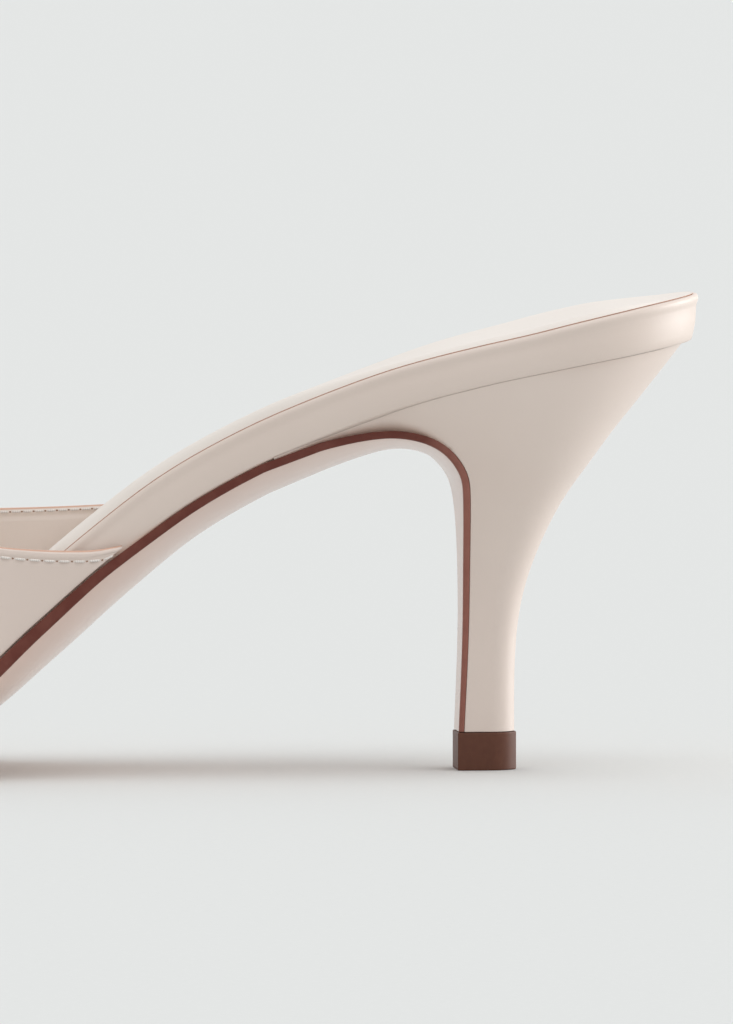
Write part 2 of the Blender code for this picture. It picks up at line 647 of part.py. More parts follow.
def make_heel(collection, cutters):
    """The blank, cut back to the insole and to the outsole."""
    track = outsole_track()
    heel = loft("heel", heel_blank(HEEL_STEPS, track), collection)

    y = np.linspace(-CUTTER_HALF, CUTTER_HALF, 33)
    insole = insole_track()
    stops = np.linspace(0.0, insole.s[-1] * 0.36, 26)
    seat = insole.point(stops[:, None], y[None, :], -GAP / 2)
    behind = seat[:1] + (seat[:1] - seat[1:2]) * 2.0
    seat_block = swept_block("seat_cutter", np.concatenate([behind, seat]), np.array([0.0, 0.0, CUTTER_DEEP]), cutters)
    stops = np.linspace(0.0, track.s[-1] * 0.42, 48)
    breast = track.point(stops[:, None], y[None, :], GAP / 2)
    below = breast[:1] - np.array([0.0, 0.0, 0.01])
    breast_block = swept_block("breast_cutter", np.concatenate([below, breast]),
                               np.array([-CUTTER_DEEP, 0.0, -CUTTER_DEEP]), cutters)
    for cutter in (seat_block, breast_block):
        cutter.hide_render = True
        cutter.display_type = "WIRE"
        cut = heel.modifiers.new(cutter.name, "BOOLEAN")
        cut.operation = "DIFFERENCE"
        cut.object = cutter
    return heel


def make_tip(collection):
    loops = np.array([
        heel_section(-TIP_LENGTH / 2, z, TIP_LENGTH / 2, z, TIP_WIDTH / 2, TIP_WIDTH / 2)
        for z in (0.0, TIP_HEIGHT)
    ])
    tip = loft("heel_tip", loops, collection)
    edge = tip.modifiers.new("edge", "BEVEL")
    edge.width = TIP_ROUND
    edge.segments = 1
    edge.limit_method = "ANGLE"
    edge.angle_limit = math.radians(50)
    return tip


def material(name, colour, roughness):
    """A plain finish. The colour is linear."""
    made = bpy.data.materials.new(name)
    made.use_nodes = True
    shader = made.node_tree.nodes["Principled BSDF"]
    shader.inputs["Base Color"].default_value = (*colour, 1.0)
    shader.inputs["Roughness"].default_value = roughness
    shader.inputs["Metallic"].default_value = 0.0
    return made


def new_collection(name):
    made = bpy.data.collections.new(name)
    bpy.context.scene.collection.children.link(made)
    return made


def main():
    for obj in list(bpy.data.objects):
        bpy.data.objects.remove(obj)
    shoe, cutters = new_collection("heeled_sandal"), new_collection("cutters")
    cream = (0.68, 0.58, 0.50)
    brown = (0.12, 0.045, 0.03)
    pieces = (
        (make_outsole(shoe), brown, 0.45),
        (make_upper(shoe), cream, 0.45),
        (make_insole(shoe), cream, 0.45),
        (make_sock(shoe), cream, 0.55),
        (make_heel(shoe, cutters), cream, 0.45),
        (make_tip(shoe), brown, 0.5),
    )
    for obj, colour, roughness in pieces:
        obj.data.materials.append(material(obj.name, colour, roughness))
        obj.data.shade_smooth()
        obj.data.set_sharp_from_angle(angle=math.radians(35))


main()
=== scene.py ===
"""Looks for a cream leather heeled mule sandal: a right shoe seen from its inner side, toe to the left.

Each section below is one real piece, with its sizes, its mesh and its leather. Lengths are metres in
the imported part's frame: the origin is under the heel tip, -X is the toe and +Y the outer side.
"""
import math

import bmesh
import bpy
import numpy as np
from mathutils import Matrix, Vector
from mathutils.bvhtree import BVHTree


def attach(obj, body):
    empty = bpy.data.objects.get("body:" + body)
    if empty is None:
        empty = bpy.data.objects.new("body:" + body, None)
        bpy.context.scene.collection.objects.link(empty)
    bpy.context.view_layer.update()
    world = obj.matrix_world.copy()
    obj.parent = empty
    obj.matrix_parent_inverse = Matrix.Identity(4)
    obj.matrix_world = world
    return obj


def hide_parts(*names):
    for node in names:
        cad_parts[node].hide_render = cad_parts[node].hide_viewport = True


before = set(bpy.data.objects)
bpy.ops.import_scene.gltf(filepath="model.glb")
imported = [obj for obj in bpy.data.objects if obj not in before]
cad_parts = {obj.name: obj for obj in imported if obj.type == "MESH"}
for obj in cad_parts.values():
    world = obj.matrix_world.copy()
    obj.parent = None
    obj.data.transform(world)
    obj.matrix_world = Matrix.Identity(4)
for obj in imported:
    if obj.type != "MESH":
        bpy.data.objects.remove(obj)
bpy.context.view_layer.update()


# Insole: a board with padding, wrapped in cream calf leather that is turned under it all round. Its
# rim is rolled and a shallow bed in its top takes the sock. Every other piece follows its surface.

SHOE_LENGTH = 0.230        # insole, heel to toe, along the floor
HEEL_OVERHANG = 0.033      # back of the insole behind the centre of the heel tip
BALL_WIDTH = 0.0748        # insole across the ball
SEAT_WIDTH = 0.0512        # insole across the heel
HEEL_RISE = 0.0662         # insole's underside, heel above ball
TOE_SPRING = 0.0060        # insole's underside, toe above ball
ARCH_RAISE = 0.0043        # inner edge of the arch above the low line of the sole
HEEL_ROUND = 0.0260        # length over which the outline closes at the heel
TOE_ROUND = 0.0520         # length over which the outline closes at the toe
SEAT_THICK = 0.0070        # insole under the heel of the foot
ARCH_THICK = 0.0062        # insole from the arch forwards
HEEL_LEAN = 0.42           # how far the insole's back leans outwards over its thickness
INSOLE_ROUND = 0.0010      # rolled edges of the covered insole
SOCK_BED = 0.0008          # the insole's top is sunk by this inside its rim
TREAD_THICK = 0.0025       # outsole under the ball
TREAD_SINK = 0.00035       # what the floor presses flat under the ball
SOLE_EDGE = 0.0022         # outsole's edge under the ball
SOLE_CROWN = 0.0014        # how much thicker the middle of the outsole is at the arch
GAP = 0.0003               # between pieces that touch
CUP_PAST = 1.15            # the bulge is followed this far past the outline, share of the half width
TREAD_TOP = TREAD_THICK
WALL_CORNER = ((0.35, 0.0), (0.12, 0.08), (0.0, 0.3))  # lower edge of the wall: inset and height, of its roll
WALL_SWELL = 0.00012       # the wrapped wall stands out by this low down
SWELL_AT = (0.42, 0.60)    # shares of its height where it is fullest and where it is level again
HOLLOW = 0.00016           # and it is pulled in by this under the rim
BED_SLOPE = 0.00025        # width of the bed's own wall
HAIR = 0.00003             # the least room between two faces
WELD = 1e-7                # points nearer than this are one
SMOOTH_UNDER = math.radians(42)
TRACK_POINTS = 700
INSOLE_STEPS = 170
INSOLE_ACROSS = 20

# The insole from heel to toe, as shares of the sizes above.
LAST_COLUMNS = ("along", "rise", "half", "swing", "cup_in", "cup_out", "low")
LAST = (
    (0.00, 1.0000, 0.497, 0.000, 0.28, 0.08, 0.000),
    (0.05, 0.9580, 0.499, 0.000, 0.30, 0.13, 0.000),
    (0.10, 0.9200, 0.500, 0.000, 0.32, 0.16, 0.000),
    (0.15, 0.8790, 0.495, 0.000, 0.39, 0.14, 0.006),
    (0.20, 0.8240, 0.475, 0.001, 0.55, 0.07, 0.020),
    (0.25, 0.7490, 0.433, 0.004, 0.74, 0.04, 0.040),
    (0.30, 0.6660, 0.386, 0.009, 0.84, 0.07, 0.053),
    (0.35, 0.5650, 0.353, 0.015, 0.89, 0.07, 0.064),
    (0.40, 0.4275, 0.337, 0.021, 0.96, 0.07, 0.064),
    (0.45, 0.2764, 0.351, 0.021, 1.00, 0.09, 0.058),
    (0.50, 0.1330, 0.384, 0.017, 0.93, 0.12, 0.046),
    (0.55, 0.0380, 0.423, 0.011, 0.70, 0.12, 0.032),
    (0.60, 0.0045, 0.466, 0.004, 0.42, 0.10, 0.018),
    (0.65, 0.0000, 0.495, 0.001, 0.21, 0.08, 0.000),
    (0.70, 0.0000, 0.500, 0.000, 0.12, 0.08, 0.000),
    (0.75, 0.0000, 0.487, -0.005, 0.10, 0.09, 0.000),
    (0.80, 0.0000, 0.460, -0.016, 0.10, 0.10, 0.000),
    (0.85, 0.0000, 0.426, -0.030, 0.14, 0.14, 0.000),
    (0.90, 0.0000, 0.386, -0.043, 0.18, 0.18, 0.000),
    (0.95, 0.0000, 0.346, -0.054, 0.20, 0.20, 0.000),
    (1.00, 0.0000, 0.310, -0.062, 0.20, 0.20, 0.000),
)
# Parts of the length over which one thing passes into another: from, to.
WIDTH_EASE = (0.20, 0.60)  # the heel's width into the ball's
SEAT_EASE = (0.02, 0.14)   # the seat's thickness into the arch's
TREAD_EASE = (0.57, 0.63)  # the outsole's middle into the floor
SPRING_FROM = 0.80

# The outsole's edge and the extra thickness of its middle, as shares of the sizes above.
EDGE_COLUMNS = ("along", "edge", "crown")
EDGE = (
    (0.00, 0.50, 0.60),
    (0.30, 0.55, 1.00),
    (0.40, 0.66, 1.00),
    (0.46, 0.82, 0.86),
    (0.52, 0.96, 0.60),
    (0.60, 1.00, 0.30),
    (1.00, 1.00, 0.20),
)


def ease(value, low, high):
    """0 below low, 1 above high, smooth between."""
    share = np.clip((value - low) / (high - low), 0.0, 1.0)
    return share * share * (3.0 - 2.0 * share)


def mix(first, second, share):
    return first + (second - first) * share


def glide(rows, columns, name, at):
    """A column of a table at places of its first column, on a smooth curve that never overshoots."""
    places = np.array([row[0] for row in rows])
    values = np.array([row[columns.index(name)] for row in rows])
    steps = np.diff(places)
    slopes = np.diff(values) / steps
    rising = slopes[:-1] * slopes[1:] > 0
    total = np.where(rising, slopes[:-1] + slopes[1:], 1.0)
    inner = np.where(rising, 2.0 * slopes[:-1] * slopes[1:] / total, 0.0)
    tangents = np.concatenate([slopes[:1], inner, slopes[-1:]])
    at = np.asarray(at, float)
    cell = np.clip(np.searchsorted(places, at) - 1, 0, len(steps) - 1)
    step = steps[cell]
    share = np.clip((at - places[cell]) / step, 0.0, 1.0)
    return (values[cell] * (1 + 2 * share) * (1 - share) ** 2
            + tangents[cell] * step * share * (1 - share) ** 2
            + values[cell + 1] * share ** 2 * (3 - 2 * share)
            + tangents[cell + 1] * step * share ** 2 * (share - 1))


class Track:
    """A line in the shoe's middle plane with the widths and the bulge of the sole along it.

    up points to the foot's side. point() gives the place at a distance along the line, at a
    distance across it, lifted off it."""

    def __init__(self, x, z, values):
        self.x, self.z, self.values = x, z, values
        self.s = np.concatenate([[0.0], np.cumsum(np.hypot(np.diff(x), np.diff(z)))])
        run, climb = np.gradient(x, self.s), np.gradient(z, self.s)
        length = np.hypot(run, climb)
        self.up_x, self.up_z = climb / length, -run / length

    def at(self, name, s):
        return np.interp(s, self.s, self.values[name])

    def cup(self, s, y):
        """How far the sole's surface stands above its low line at y."""
        full, middle = self.at("full", s), self.at("swing", s)
        low = middle + self.at("low", s)
        inner = np.clip((low - y) / (full + low - middle), 0.0, CUP_PAST)
        outer = np.clip((y - low) / (full - low + middle), 0.0, CUP_PAST)
        return self.at("cup_in", s) * inner ** 2 + self.at("cup_out", s) * outer ** 2

    def point(self, s, y, lift):
        rise = lift + self.cup(s, y)
        past = s - np.clip(s, 0.0, self.s[-1])
        up_x, up_z = np.interp(s, self.s, self.up_x), np.interp(s, self.s, self.up_z)
        x = np.interp(s, self.s, self.x) + rise * up_x - past * up_z
        z = np.interp(s, self.s, self.z) + rise * up_z + past * up_x
        return np.stack(np.broadcast_arrays(x, y, z), axis=-1)


def last_values(along):
    """The insole's columns in metres at shares of the length, with the outline closed at heel and toe."""
    def column(name):
        return glide(LAST, LAST_COLUMNS, name, along)

    width = mix(SEAT_WIDTH, BALL_WIDTH, ease(along, *WIDTH_EASE))
    full = column("half") * width
    from_heel = np.clip(1.0 - along * SHOE_LENGTH / HEEL_ROUND, 0.0, 1.0)
    from_toe = np.clip(1.0 - (1.0 - along) * SHOE_LENGTH / TOE_ROUND, 0.0, 1.0)
    edge = SOLE_EDGE * glide(EDGE, EDGE_COLUMNS, "edge", along)
    return {
        "along": along,
        "full": full,
        "half": full * np.sqrt(1.0 - from_heel ** 2) * np.sqrt(1.0 - from_toe ** 2),
        "swing": column("swing") * BALL_WIDTH,
        "low": column("low") * BALL_WIDTH,
        "cup_in": column("cup_in") * ARCH_RAISE,
        "cup_out": column("cup_out") * ARCH_RAISE,
        "thick": mix(SEAT_THICK, ARCH_THICK, ease(along, *SEAT_EASE)),
        "edge": edge,
        "crown": np.maximum(
            SOLE_CROWN * glide(EDGE, EDGE_COLUMNS, "crown", along),
            ease(along, *TREAD_EASE) * (TREAD_THICK + TREAD_SINK - edge)),
    }


def seam_z(along):
    """Height of the insole's underside along its low line."""
    spring = np.clip((along - SPRING_FROM) / (1.0 - SPRING_FROM), 0.0, 2.0)
    return TREAD_TOP + HEEL_RISE * glide(LAST, LAST_COLUMNS, "rise", along) + TOE_SPRING * spring ** 2


def seam_x(along):
    return HEEL_OVERHANG - along * SHOE_LENGTH


def insole_track():
    along = np.linspace(0.0, 1.0, TRACK_POINTS)
    return Track(seam_x(along), seam_z(along), last_values(along))


def placed(name, data):
    """An object of a mesh, a light or a camera, in the scene."""
    obj = bpy.data.objects.new(name, data)
    bpy.context.scene.collection.objects.link(obj)
    return obj


def piece(name, points, faces, finishes, kinds=None):
    """A smooth closed object of those faces. kinds says which of its finishes each face has."""
    mesh = bpy.data.meshes.new(name)
    mesh.from_pydata([tuple(point) for point in points], [], faces)
    for finish in finishes:
        mesh.materials.append(finish)
    if kinds is not None:
        mesh.polygons.foreach_set("material_index", np.asarray(kinds, dtype=np.int32))
    bm = bmesh.new()
    bm.from_mesh(mesh)
    bmesh.ops.remove_doubles(bm, verts=bm.verts, dist=WELD)
    open_edges = [edge for edge in bm.edges if edge.is_boundary]
    if open_edges:
        bmesh.ops.holes_fill(bm, edges=open_edges)
    bmesh.ops.recalc_face_normals(bm, faces=bm.faces)
    bm.to_mesh(mesh)
    bm.free()
    mesh.shade_smooth()
    mesh.set_sharp_from_angle(angle=SMOOTH_UNDER)
    return placed(name, mesh)


def strips(count, size):
    """The faces between count loops of size points each."""
    return [
        (i * size + j, i * size + (j + 1) % size, (i + 1) * size + (j + 1) % size, (i + 1) * size + j)
        for i in range(count - 1)
        for j in range(size)
    ]


def tube(name, loops, finishes, line_kinds=None):
    """A closed tube through loops of points. line_kinds is the finish of each strip along it."""
    count, size = loops.shape[:2]
    kinds = None if line_kinds is None else list(line_kinds) * (count - 1)
    return piece(name, loops.reshape(-1, 3), strips(count, size), finishes, kinds)


def edge_normals(s, y):
    """Outward directions of an outline's side in the sole's plane, square to its ends where it closes."""
    run, across = np.gradient(s), np.gradient(y)
    length = np.hypot(run, across)
    side = np.sign(y[len(y) // 2])
    along, outward = -side * across / length, side * run / length
    for end, way in ((0, -1.0), (-1, 1.0)):
        if abs(y[end] - y[end + (1 if end == 0 else -1)]) > abs(run[end]):
            along[end], outward[end] = way, 0.0
    return along, outward


def spread(start, end, steps, gather=0.82):
    """Places from start to end that lie closer together at both ends."""
    even = np.linspace(0.0, 1.0, steps)
    return mix(start, end, even - gather / (2 * math.pi) * np.sin(2 * math.pi * even))


def plate(name, track, stops, rings, grow, across, finishes, ring_kinds,
          crown_low=None, floor=None, lean=0.0):
    """A sheet along a track. rings are (inset, lift) from its lower edge round to its upper one.

    ring_kinds are the finishes of the underside, of each strip between rings and of the top."""
    middle, half = track.at("swing", stops), track.at("half", stops)
    sides = []
    for way, more in zip((-1.0, 1.0), grow):
        y = middle + way * half
        along, outward = edge_normals(stops, y - middle)
        rows = []
        for inset, lift in rings:
            out = more - inset + lean * lift * np.clip(-along, 0.0, 1.0)
            rows.append((stops + along * out, y + outward * out, lift + np.zeros_like(stops)))
        sides.append(rows)
    inner, outer = sides
    lines, kinds = [], []
    shares = np.linspace(0.0, 1.0, across + 1)[1:-1]
    for share in shares[::-1]:
        low = [mix(a, b, share) for a, b in zip(inner[0], outer[0])]
        if crown_low is not None:
            low[2] = low[2] - crown_low * (1.0 - (2.0 * share - 1.0) ** 2)
        lines.append(low)
        kinds.append(ring_kinds[0])
    lines.extend(inner)
    kinds.extend(ring_kinds[1:])
    lines.extend([mix(a, b, share) for a, b in zip(inner[-1], outer[-1])] for share in shares)
    kinds.extend([ring_kinds[-1]] * len(shares))
    lines.extend(outer[::-1])
    kinds.extend(list(ring_kinds[1:-1])[::-1] + [ring_kinds[0]])
    loops = np.stack([track.point(s, y, lift) for s, y, lift in lines], axis=1)
    if floor is not None:
        loops[..., 2] = np.maximum(loops[..., 2], floor)
    return tube(name, loops, finishes, kinds)


def linear(code):
    """An sRGB hex colour as the linear one that a shader takes."""
    values = [int(code[i:i + 2], 16) / 255 for i in (1, 3, 5)]
    return tuple(v / 12.92 if v <= 0.04045 else ((v + 0.055) / 1.055) ** 2.4 for v in values) + (1.0,)


def add(tree, kind, settings=None, **links):
    """A node with its settings (attributes or input values) and the sockets that feed its inputs."""
    node = tree.nodes.new(kind)
    for key, value in (settings or {}).items():
        if isinstance(key, str) and hasattr(node, key):
            setattr(node, key, value)
        else:
            node.inputs[key].default_value = value
    for key, source in links.items():
        tree.links.new(source, node.inputs[int(key[1:]) if key in ("i0", "i1") else key])
    return node


def blank(name, **inputs):
    """A new material with those shader inputs, its tree, its shader and each point's own place."""
    made = bpy.data.materials.new(name)
    made.use_nodes = True
    tree = made.node_tree
    shader = tree.nodes["Principled BSDF"]
    for key, value in inputs.items():
        shader.inputs[key.replace("_", " ")].default_value = value
    return made, tree, shader, add(tree, "ShaderNodeTexCoord").outputs["Object"]


def per_metre(size_mm):
    """The scale of a pattern whose spots are that many millimetres wide."""
    return 1000.0 / size_mm


CLOUD_MM = 26.3            # patches where the dye took better
WRINKLE_MM = 2.38
FIBRE_MM = 0.385
PORE_MM = 0.45             # real ones are 0.1 mm, too fine to show: they are drawn coarser
CLOUD_DETAIL = {"Detail": 4.0, "Roughness": 0.55}
WRINKLE_DETAIL = {"Detail": 5.0, "Roughness": 0.62}
FIBRE_DETAIL = {"Detail": 3.0, "Roughness": 0.6}


def leather(name, colour, shade, roughness=0.44, grain=0.05, pore_mm=PORE_MM, coat=0.06):
    """Smooth chrome-tanned calf: closed pores, faint pull-up in the colour and a thin satin finish."""
    made, tree, shader, place = blank(name, IOR=1.48, Coat_Weight=coat, Coat_Roughness=0.35)
    clouds = add(tree, "ShaderNodeTexNoise", {"Scale": per_metre(CLOUD_MM), **CLOUD_DETAIL}, Vector=place)
    pores = add(tree, "ShaderNodeTexVoronoi", {"Scale": per_metre(pore_mm), "feature": "DISTANCE_TO_EDGE"},
                Vector=place)
    fibres = add(tree, "ShaderNodeTexNoise", {"Scale": per_metre(FIBRE_MM), **FIBRE_DETAIL}, Vector=place)
    wrinkles = add(tree, "ShaderNodeTexNoise", {"Scale": per_metre(WRINKLE_MM), **WRINKLE_DETAIL},
                   Vector=place)
    tone = add(tree, "ShaderNodeMix", {"data_type": "RGBA", 6: linear(colour), 7: linear(shade)},
               i0=clouds.outputs["Fac"])
    tree.links.new(tone.outputs[2], shader.inputs["Base Color"])
    gloss = add(tree, "ShaderNodeMapRange", {"To Min": roughness - 0.05, "To Max": roughness + 0.07},
                Value=wrinkles.outputs["Fac"])
    tree.links.new(gloss.outputs["Result"], shader.inputs["Roughness"])
    cells = add(tree, "ShaderNodeBump", {"Strength": grain, "Distance": 0.00006},
                Height=pores.outputs["Distance"])
    fine = add(tree, "ShaderNodeBump", {"Strength": grain * 1.6, "Distance": 0.00003},
               Height=fibres.outputs["Fac"], Normal=cells.outputs["Normal"])
    soft = add(tree, "ShaderNodeBump", {"Strength": grain * 2.0, "Distance": 0.00018},
               Height=wrinkles.outputs["Fac"], Normal=fine.outputs["Normal"])
    tree.links.new(soft.outputs["Normal"], shader.inputs["Normal"])
    return made


track = insole_track()
stops = spread(0.0, track.s[-1], INSOLE_STEPS)
insole_top = GAP / 2 + track.at("thick", stops)
ROLL = [(1.0 - math.cos(a), 1.0 - math.sin(a)) for a in np.radians((0, 22, 45, 68, 90))]
rings = (
    [(INSOLE_ROUND * inset, GAP / 4 + INSOLE_ROUND * rise) for inset, rise in WALL_CORNER]
    + [(-WALL_SWELL / 2, GAP / 4 + INSOLE_ROUND * 1.2)]
    + [(-WALL_SWELL, ARCH_THICK * SWELL_AT[0]), (0.0, ARCH_THICK * SWELL_AT[1])]
    + [(HOLLOW, insole_top - INSOLE_ROUND * 2.0), (HOLLOW * 0.8, insole_top - INSOLE_ROUND * 1.5)]
    + [(INSOLE_ROUND * inset, insole_top - INSOLE_ROUND * drop) for inset, drop in ROLL]
    + [(INSOLE_ROUND + BED_SLOPE * 0.6, insole_top - HAIR), (INSOLE_ROUND + BED_SLOPE, insole_top - SOCK_BED)]
)
cover_leather = leather("insole cover, cream calf leather", "#E0D2C8", "#DCCCC1")
insole = plate("insole_cover", track, stops, rings, (0.0, 0.0), INSOLE_ACROSS, [cover_leather],
               [0] * (len(rings) + 1), lean=HEEL_LEAN)
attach(insole, "root")
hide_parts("insole")


# Sock: a thin pad covered in pale lining leather, cut out with a knife and stuck into the insole's
# bed. Its cut edge shows as a fine pinkish line just inside the rim.

SOCK_THICK = 0.0016        # padded sock
SOCK_BACK = 0.0007         # what is left of it at the back
SOCK_ARCH = 0.0011         # more padding under the arch
SOCK_BACK_TO = 0.06        # shares of the length between which the sock's padding changes
SOCK_ARCH_IN = (0.195, 0.28)
SOCK_ARCH_OUT = (0.48, 0.62)
SOCK_STEPS = 150
SOCK_ACROSS = 22
CUT_SHOWS = 0.00009        # the sock's cut edge above the rim
CUT_LIP_OUT = 0.0001       # the knife leaves a lip on it: how far out and how far up
CUT_LIP_UP = 0.00008


def sock_padding(along):
    """Thickness of the sock in its middle: thin at the back and fuller under the arch."""
    arch = ease(along, *SOCK_ARCH_IN) * (1.0 - ease(along, *SOCK_ARCH_OUT))
    return mix(SOCK_BACK, SOCK_THICK, ease(along, 0.0, SOCK_BACK_TO)) + SOCK_ARCH * arch


stops = spread(0.0, track.s[-1], SOCK_STEPS)
base = GAP / 2 + track.at("thick", stops) - SOCK_BED + GAP
inset = INSOLE_ROUND + BED_SLOPE - HAIR
swell = [(1.0 - math.cos(a), math.sin(a)) for a in np.radians((15, 35, 60, 90))]
cut = SOCK_BED - GAP + CUT_SHOWS
padding = sock_padding(track.at("along", stops)) - cut
rings = (
    [(inset, base), (inset, base + cut), (inset - CUT_LIP_OUT, base + cut + CUT_LIP_UP)]
    + [(inset + SOCK_THICK * a, base + cut + padding * b) for a, b in swell]
)
sock_leather = leather("sock, pale lining leather", "#F0E9E2", "#EAE2DA", roughness=0.5, grain=0.04)
raw_edge = leather("cut edge of the sock leather", "#E2BDAC", "#D9B19E", roughness=0.7, grain=0.1, coat=0.0)
sock = plate("sock_pad", track, stops, rings, (0.0, 0.0), SOCK_ACROSS, [sock_leather, raw_edge],
             [0, 1, 1] + [0] * (len(rings) - 2), lean=HEEL_LEAN)
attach(sock, "root")
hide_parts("sock")


# Outsole: thin pale sole leather, skived at the arch, with a dark brown painted edge. It runs from
# the toe under the arch, folds down the breast of the heel and ends on the heel tip.

TIP_LENGTH = 0.00975
TIP_WIDTH = 0.0094
TIP_HEIGHT = 0.0059
HEEL_SHY = 0.0003          # heel inside the heel tip and inside the insole
BREAST_REACH = 0.0275      # front of the heel's lip ahead of the heel tip's centre
BREAST_SHY = 0.0011        # breast of the heel behind the front of the tip
SOLE_ROUND = 0.0003
SOLE_CORNER = ((1.6, 0.0), (0.5, 0.25), (0.0, 1.0))  # lower edge: inset and height, shares of its rounding
SOLE_FLUSH = 0.0001        # outsole past the insole where no upper is lasted on
WELT_PAST_UPPER = 0.0002   # outsole past the upper
TOE_WELT = 0.0009          # outsole past the insole at the bare toe
UPPER_WALL = 0.0015
UPPER_EASE = 0.0004        # room left beside the insole for the wall's bend
TOE_OPEN_IN = 0.905        # where the front edge meets the sole
TOE_OPEN_OUT = 0.850
SEAT_TOP = TREAD_TOP + HEEL_RISE
TIP_TOP = TIP_HEIGHT + GAP
CORNER_SOUGHT = (0.55, 0.25)  # the band's rear corners are looked for between these shares of the length
CORNER_TRIES = 400
CORNER_EASE = 0.03         # shares over which the sole's edge steps out beside the band
TOE_EASE = 0.04            # and in again at the toe
JUST_PAST = 0.001
SOLE_STEPS = 150
SOLE_FLAP_STEPS = 90
SOLE_ACROSS = 22

# The heel from its tip to its seat, as shares of the sizes above.
HEEL_COLUMNS = ("ahead", "front_up", "front_half", "behind", "back_up", "side_half", "cup", "flap")
HEEL = (
    (0.000, 0.000, 0.000, 0.000, 0.000, 0.000, 0.00, 0.36),
    (-0.012, 0.108, 0.000, -0.001, 0.093, 0.000, 0.00, 0.38),
    (-0.024, 0.222, 0.002, 0.003, 0.197, 0.002, 0.00, 0.40),
    (-0.034, 0.374, 0.010, 0.032, 0.333, 0.018, 0.00, 0.43),
    (-0.034, 0.530, 0.062, 0.137, 0.470, 0.090, 0.00, 0.46),
    (-0.028, 0.654, 0.176, 0.268, 0.589, 0.232, 0.00, 0.48),
    (-0.008, 0.730, 0.290, 0.376, 0.656, 0.376, 0.06, 0.50),
    (0.024, 0.770, 0.370, 0.456, 0.705, 0.492, 0.12, 0.50),
    (0.092, 0.817, 0.470, 0.556, 0.765, 0.626, 0.20, 0.50),
    (0.190, 0.864, 0.575, 0.664, 0.820, 0.750, 0.29, 0.50),
    (0.316, 0.904, 0.670, 0.765, 0.874, 0.855, 0.39, 0.50),
    (0.472, 0.937, 0.740, 0.852, 0.919, 0.922, 0.50, 0.50),
    (0.620, 0.957, 0.785, 0.910, 0.951, 0.960, 0.66, 0.50),
    (0.873, 0.977, 0.810, 0.966, 0.982, 0.990, 0.85, 0.52),
    (1.000, 0.984, 0.815, 0.985, 0.995, 1.000, 0.92, 0.54),
)
HEEL_SOFTEN = 0.045        # each row of the heel is eased into its neighbours over this share of the rows
HEEL_ROUND_FROM = 0.50     # the heel's back is round over the rest of each section's length
HEEL_SEATS_FROM = (0.45, 1.0)  # over these rows the heel takes on the curve of the seat
LIP_JOINS_AT = 0.300       # share of the length where the outsole meets the insole again

# The topline, as shares of the heel rise and of the shoe's length.
TOPLINE_IN = 0.543         # lowest height on the inner side
TOPLINE_OUT = 0.619
TOPLINE_IN_LOW_AT = 0.430
TOPLINE_OUT_LOW_AT = 0.470
TOPLINE_IN_CURVE = 3.80    # how quickly it rises away from its lowest place
TOPLINE_OUT_CURVE = 1.20
TOPLINE_CORNER_CURVE = 16.0


def heel_rows(steps):
    """The heel's columns in metres at even steps from the tip to the seat."""
    places = np.linspace(0.0, 1.0, len(HEEL))
    rows = [(place, *row) for place, row in zip(places, HEEL)]
    at = np.linspace(0.0, 1.0, steps)
    reach = np.minimum(HEEL_SOFTEN, np.minimum(at, 1.0 - at))
    share = {
        name: sum(weight * glide(rows, ("place", *HEEL_COLUMNS), name, at + way * reach)
                  for way, weight in ((-1, 0.25), (0, 0.5), (1, 0.25)))
        for name in HEEL_COLUMNS
    }
    tip_half = TIP_WIDTH / 2 - HEEL_SHY
    ahead = mix(TIP_LENGTH / 2 - BREAST_SHY, BREAST_REACH, share["ahead"])
    behind = mix(TIP_LENGTH / 2 - HEEL_SHY, HEEL_OVERHANG - HEEL_SHY, share["behind"])
    insole_over = seam_z((HEEL_OVERHANG + ahead) / SHOE_LENGTH)
    return {
        "front_x": -ahead,
        "front_z": mix(TIP_TOP, insole_over, share["front_up"]),
        "front_half": mix(tip_half, SEAT_WIDTH / 2 - HEEL_SHY, share["front_half"]),
        "back_x": behind,
        "back_z": mix(TIP_TOP, SEAT_TOP, share["back_up"]),
        "side_half": mix(tip_half, SEAT_WIDTH / 2 - HEEL_SHY, share["side_half"]),
        "cup": share["cup"],
        "flap": share["flap"] * SOLE_EDGE,
        "seated": ease(at, *HEEL_SEATS_FROM),
    }


def outsole_track():
    """From the heel tip up the breast, under the lip of the heel and along the insole to the toe."""
    breast = heel_rows(TRACK_POINTS // 3)
    along = np.linspace(LIP_JOINS_AT, 1.0, TRACK_POINTS)
    last = last_values(along)
    joined = {name: float(last[name][0]) for name in last}
    zero = np.zeros_like(breast["cup"])
    flap = {
        "along": zero + LIP_JOINS_AT,
        "full": breast["front_half"],
        "half": breast["front_half"],
        "swing": joined["swing"] * breast["cup"] ** 2,
        "low": joined["low"] * breast["cup"] ** 2,
        "cup_in": joined["cup_in"] * breast["cup"],
        "cup_out": joined["cup_out"] * breast["cup"],
        "thick": zero + ARCH_THICK,
        "edge": breast["flap"],
        "crown": SOLE_CROWN * breast["cup"] ** 1.5,
    }
    x = np.concatenate([breast["front_x"], seam_x(along)])
    z = np.concatenate([breast["front_z"], seam_z(along)])
    values = {name: np.concatenate([flap[name], last[name]]) for name in flap}
    return Track(x, z, values)


def base_line(side, along):
    """Where the outside of the upper meets the sole, on the inner (-1) or outer (1) side."""
    track = insole_track()
    s = np.interp(along, track.values["along"], track.s)
    y = track.at("swing", s) + side * (track.at("half", s) + GAP + UPPER_EASE + UPPER_WALL)
    return tuple(np.moveaxis(track.point(s, y, GAP / 2), -1, 0))


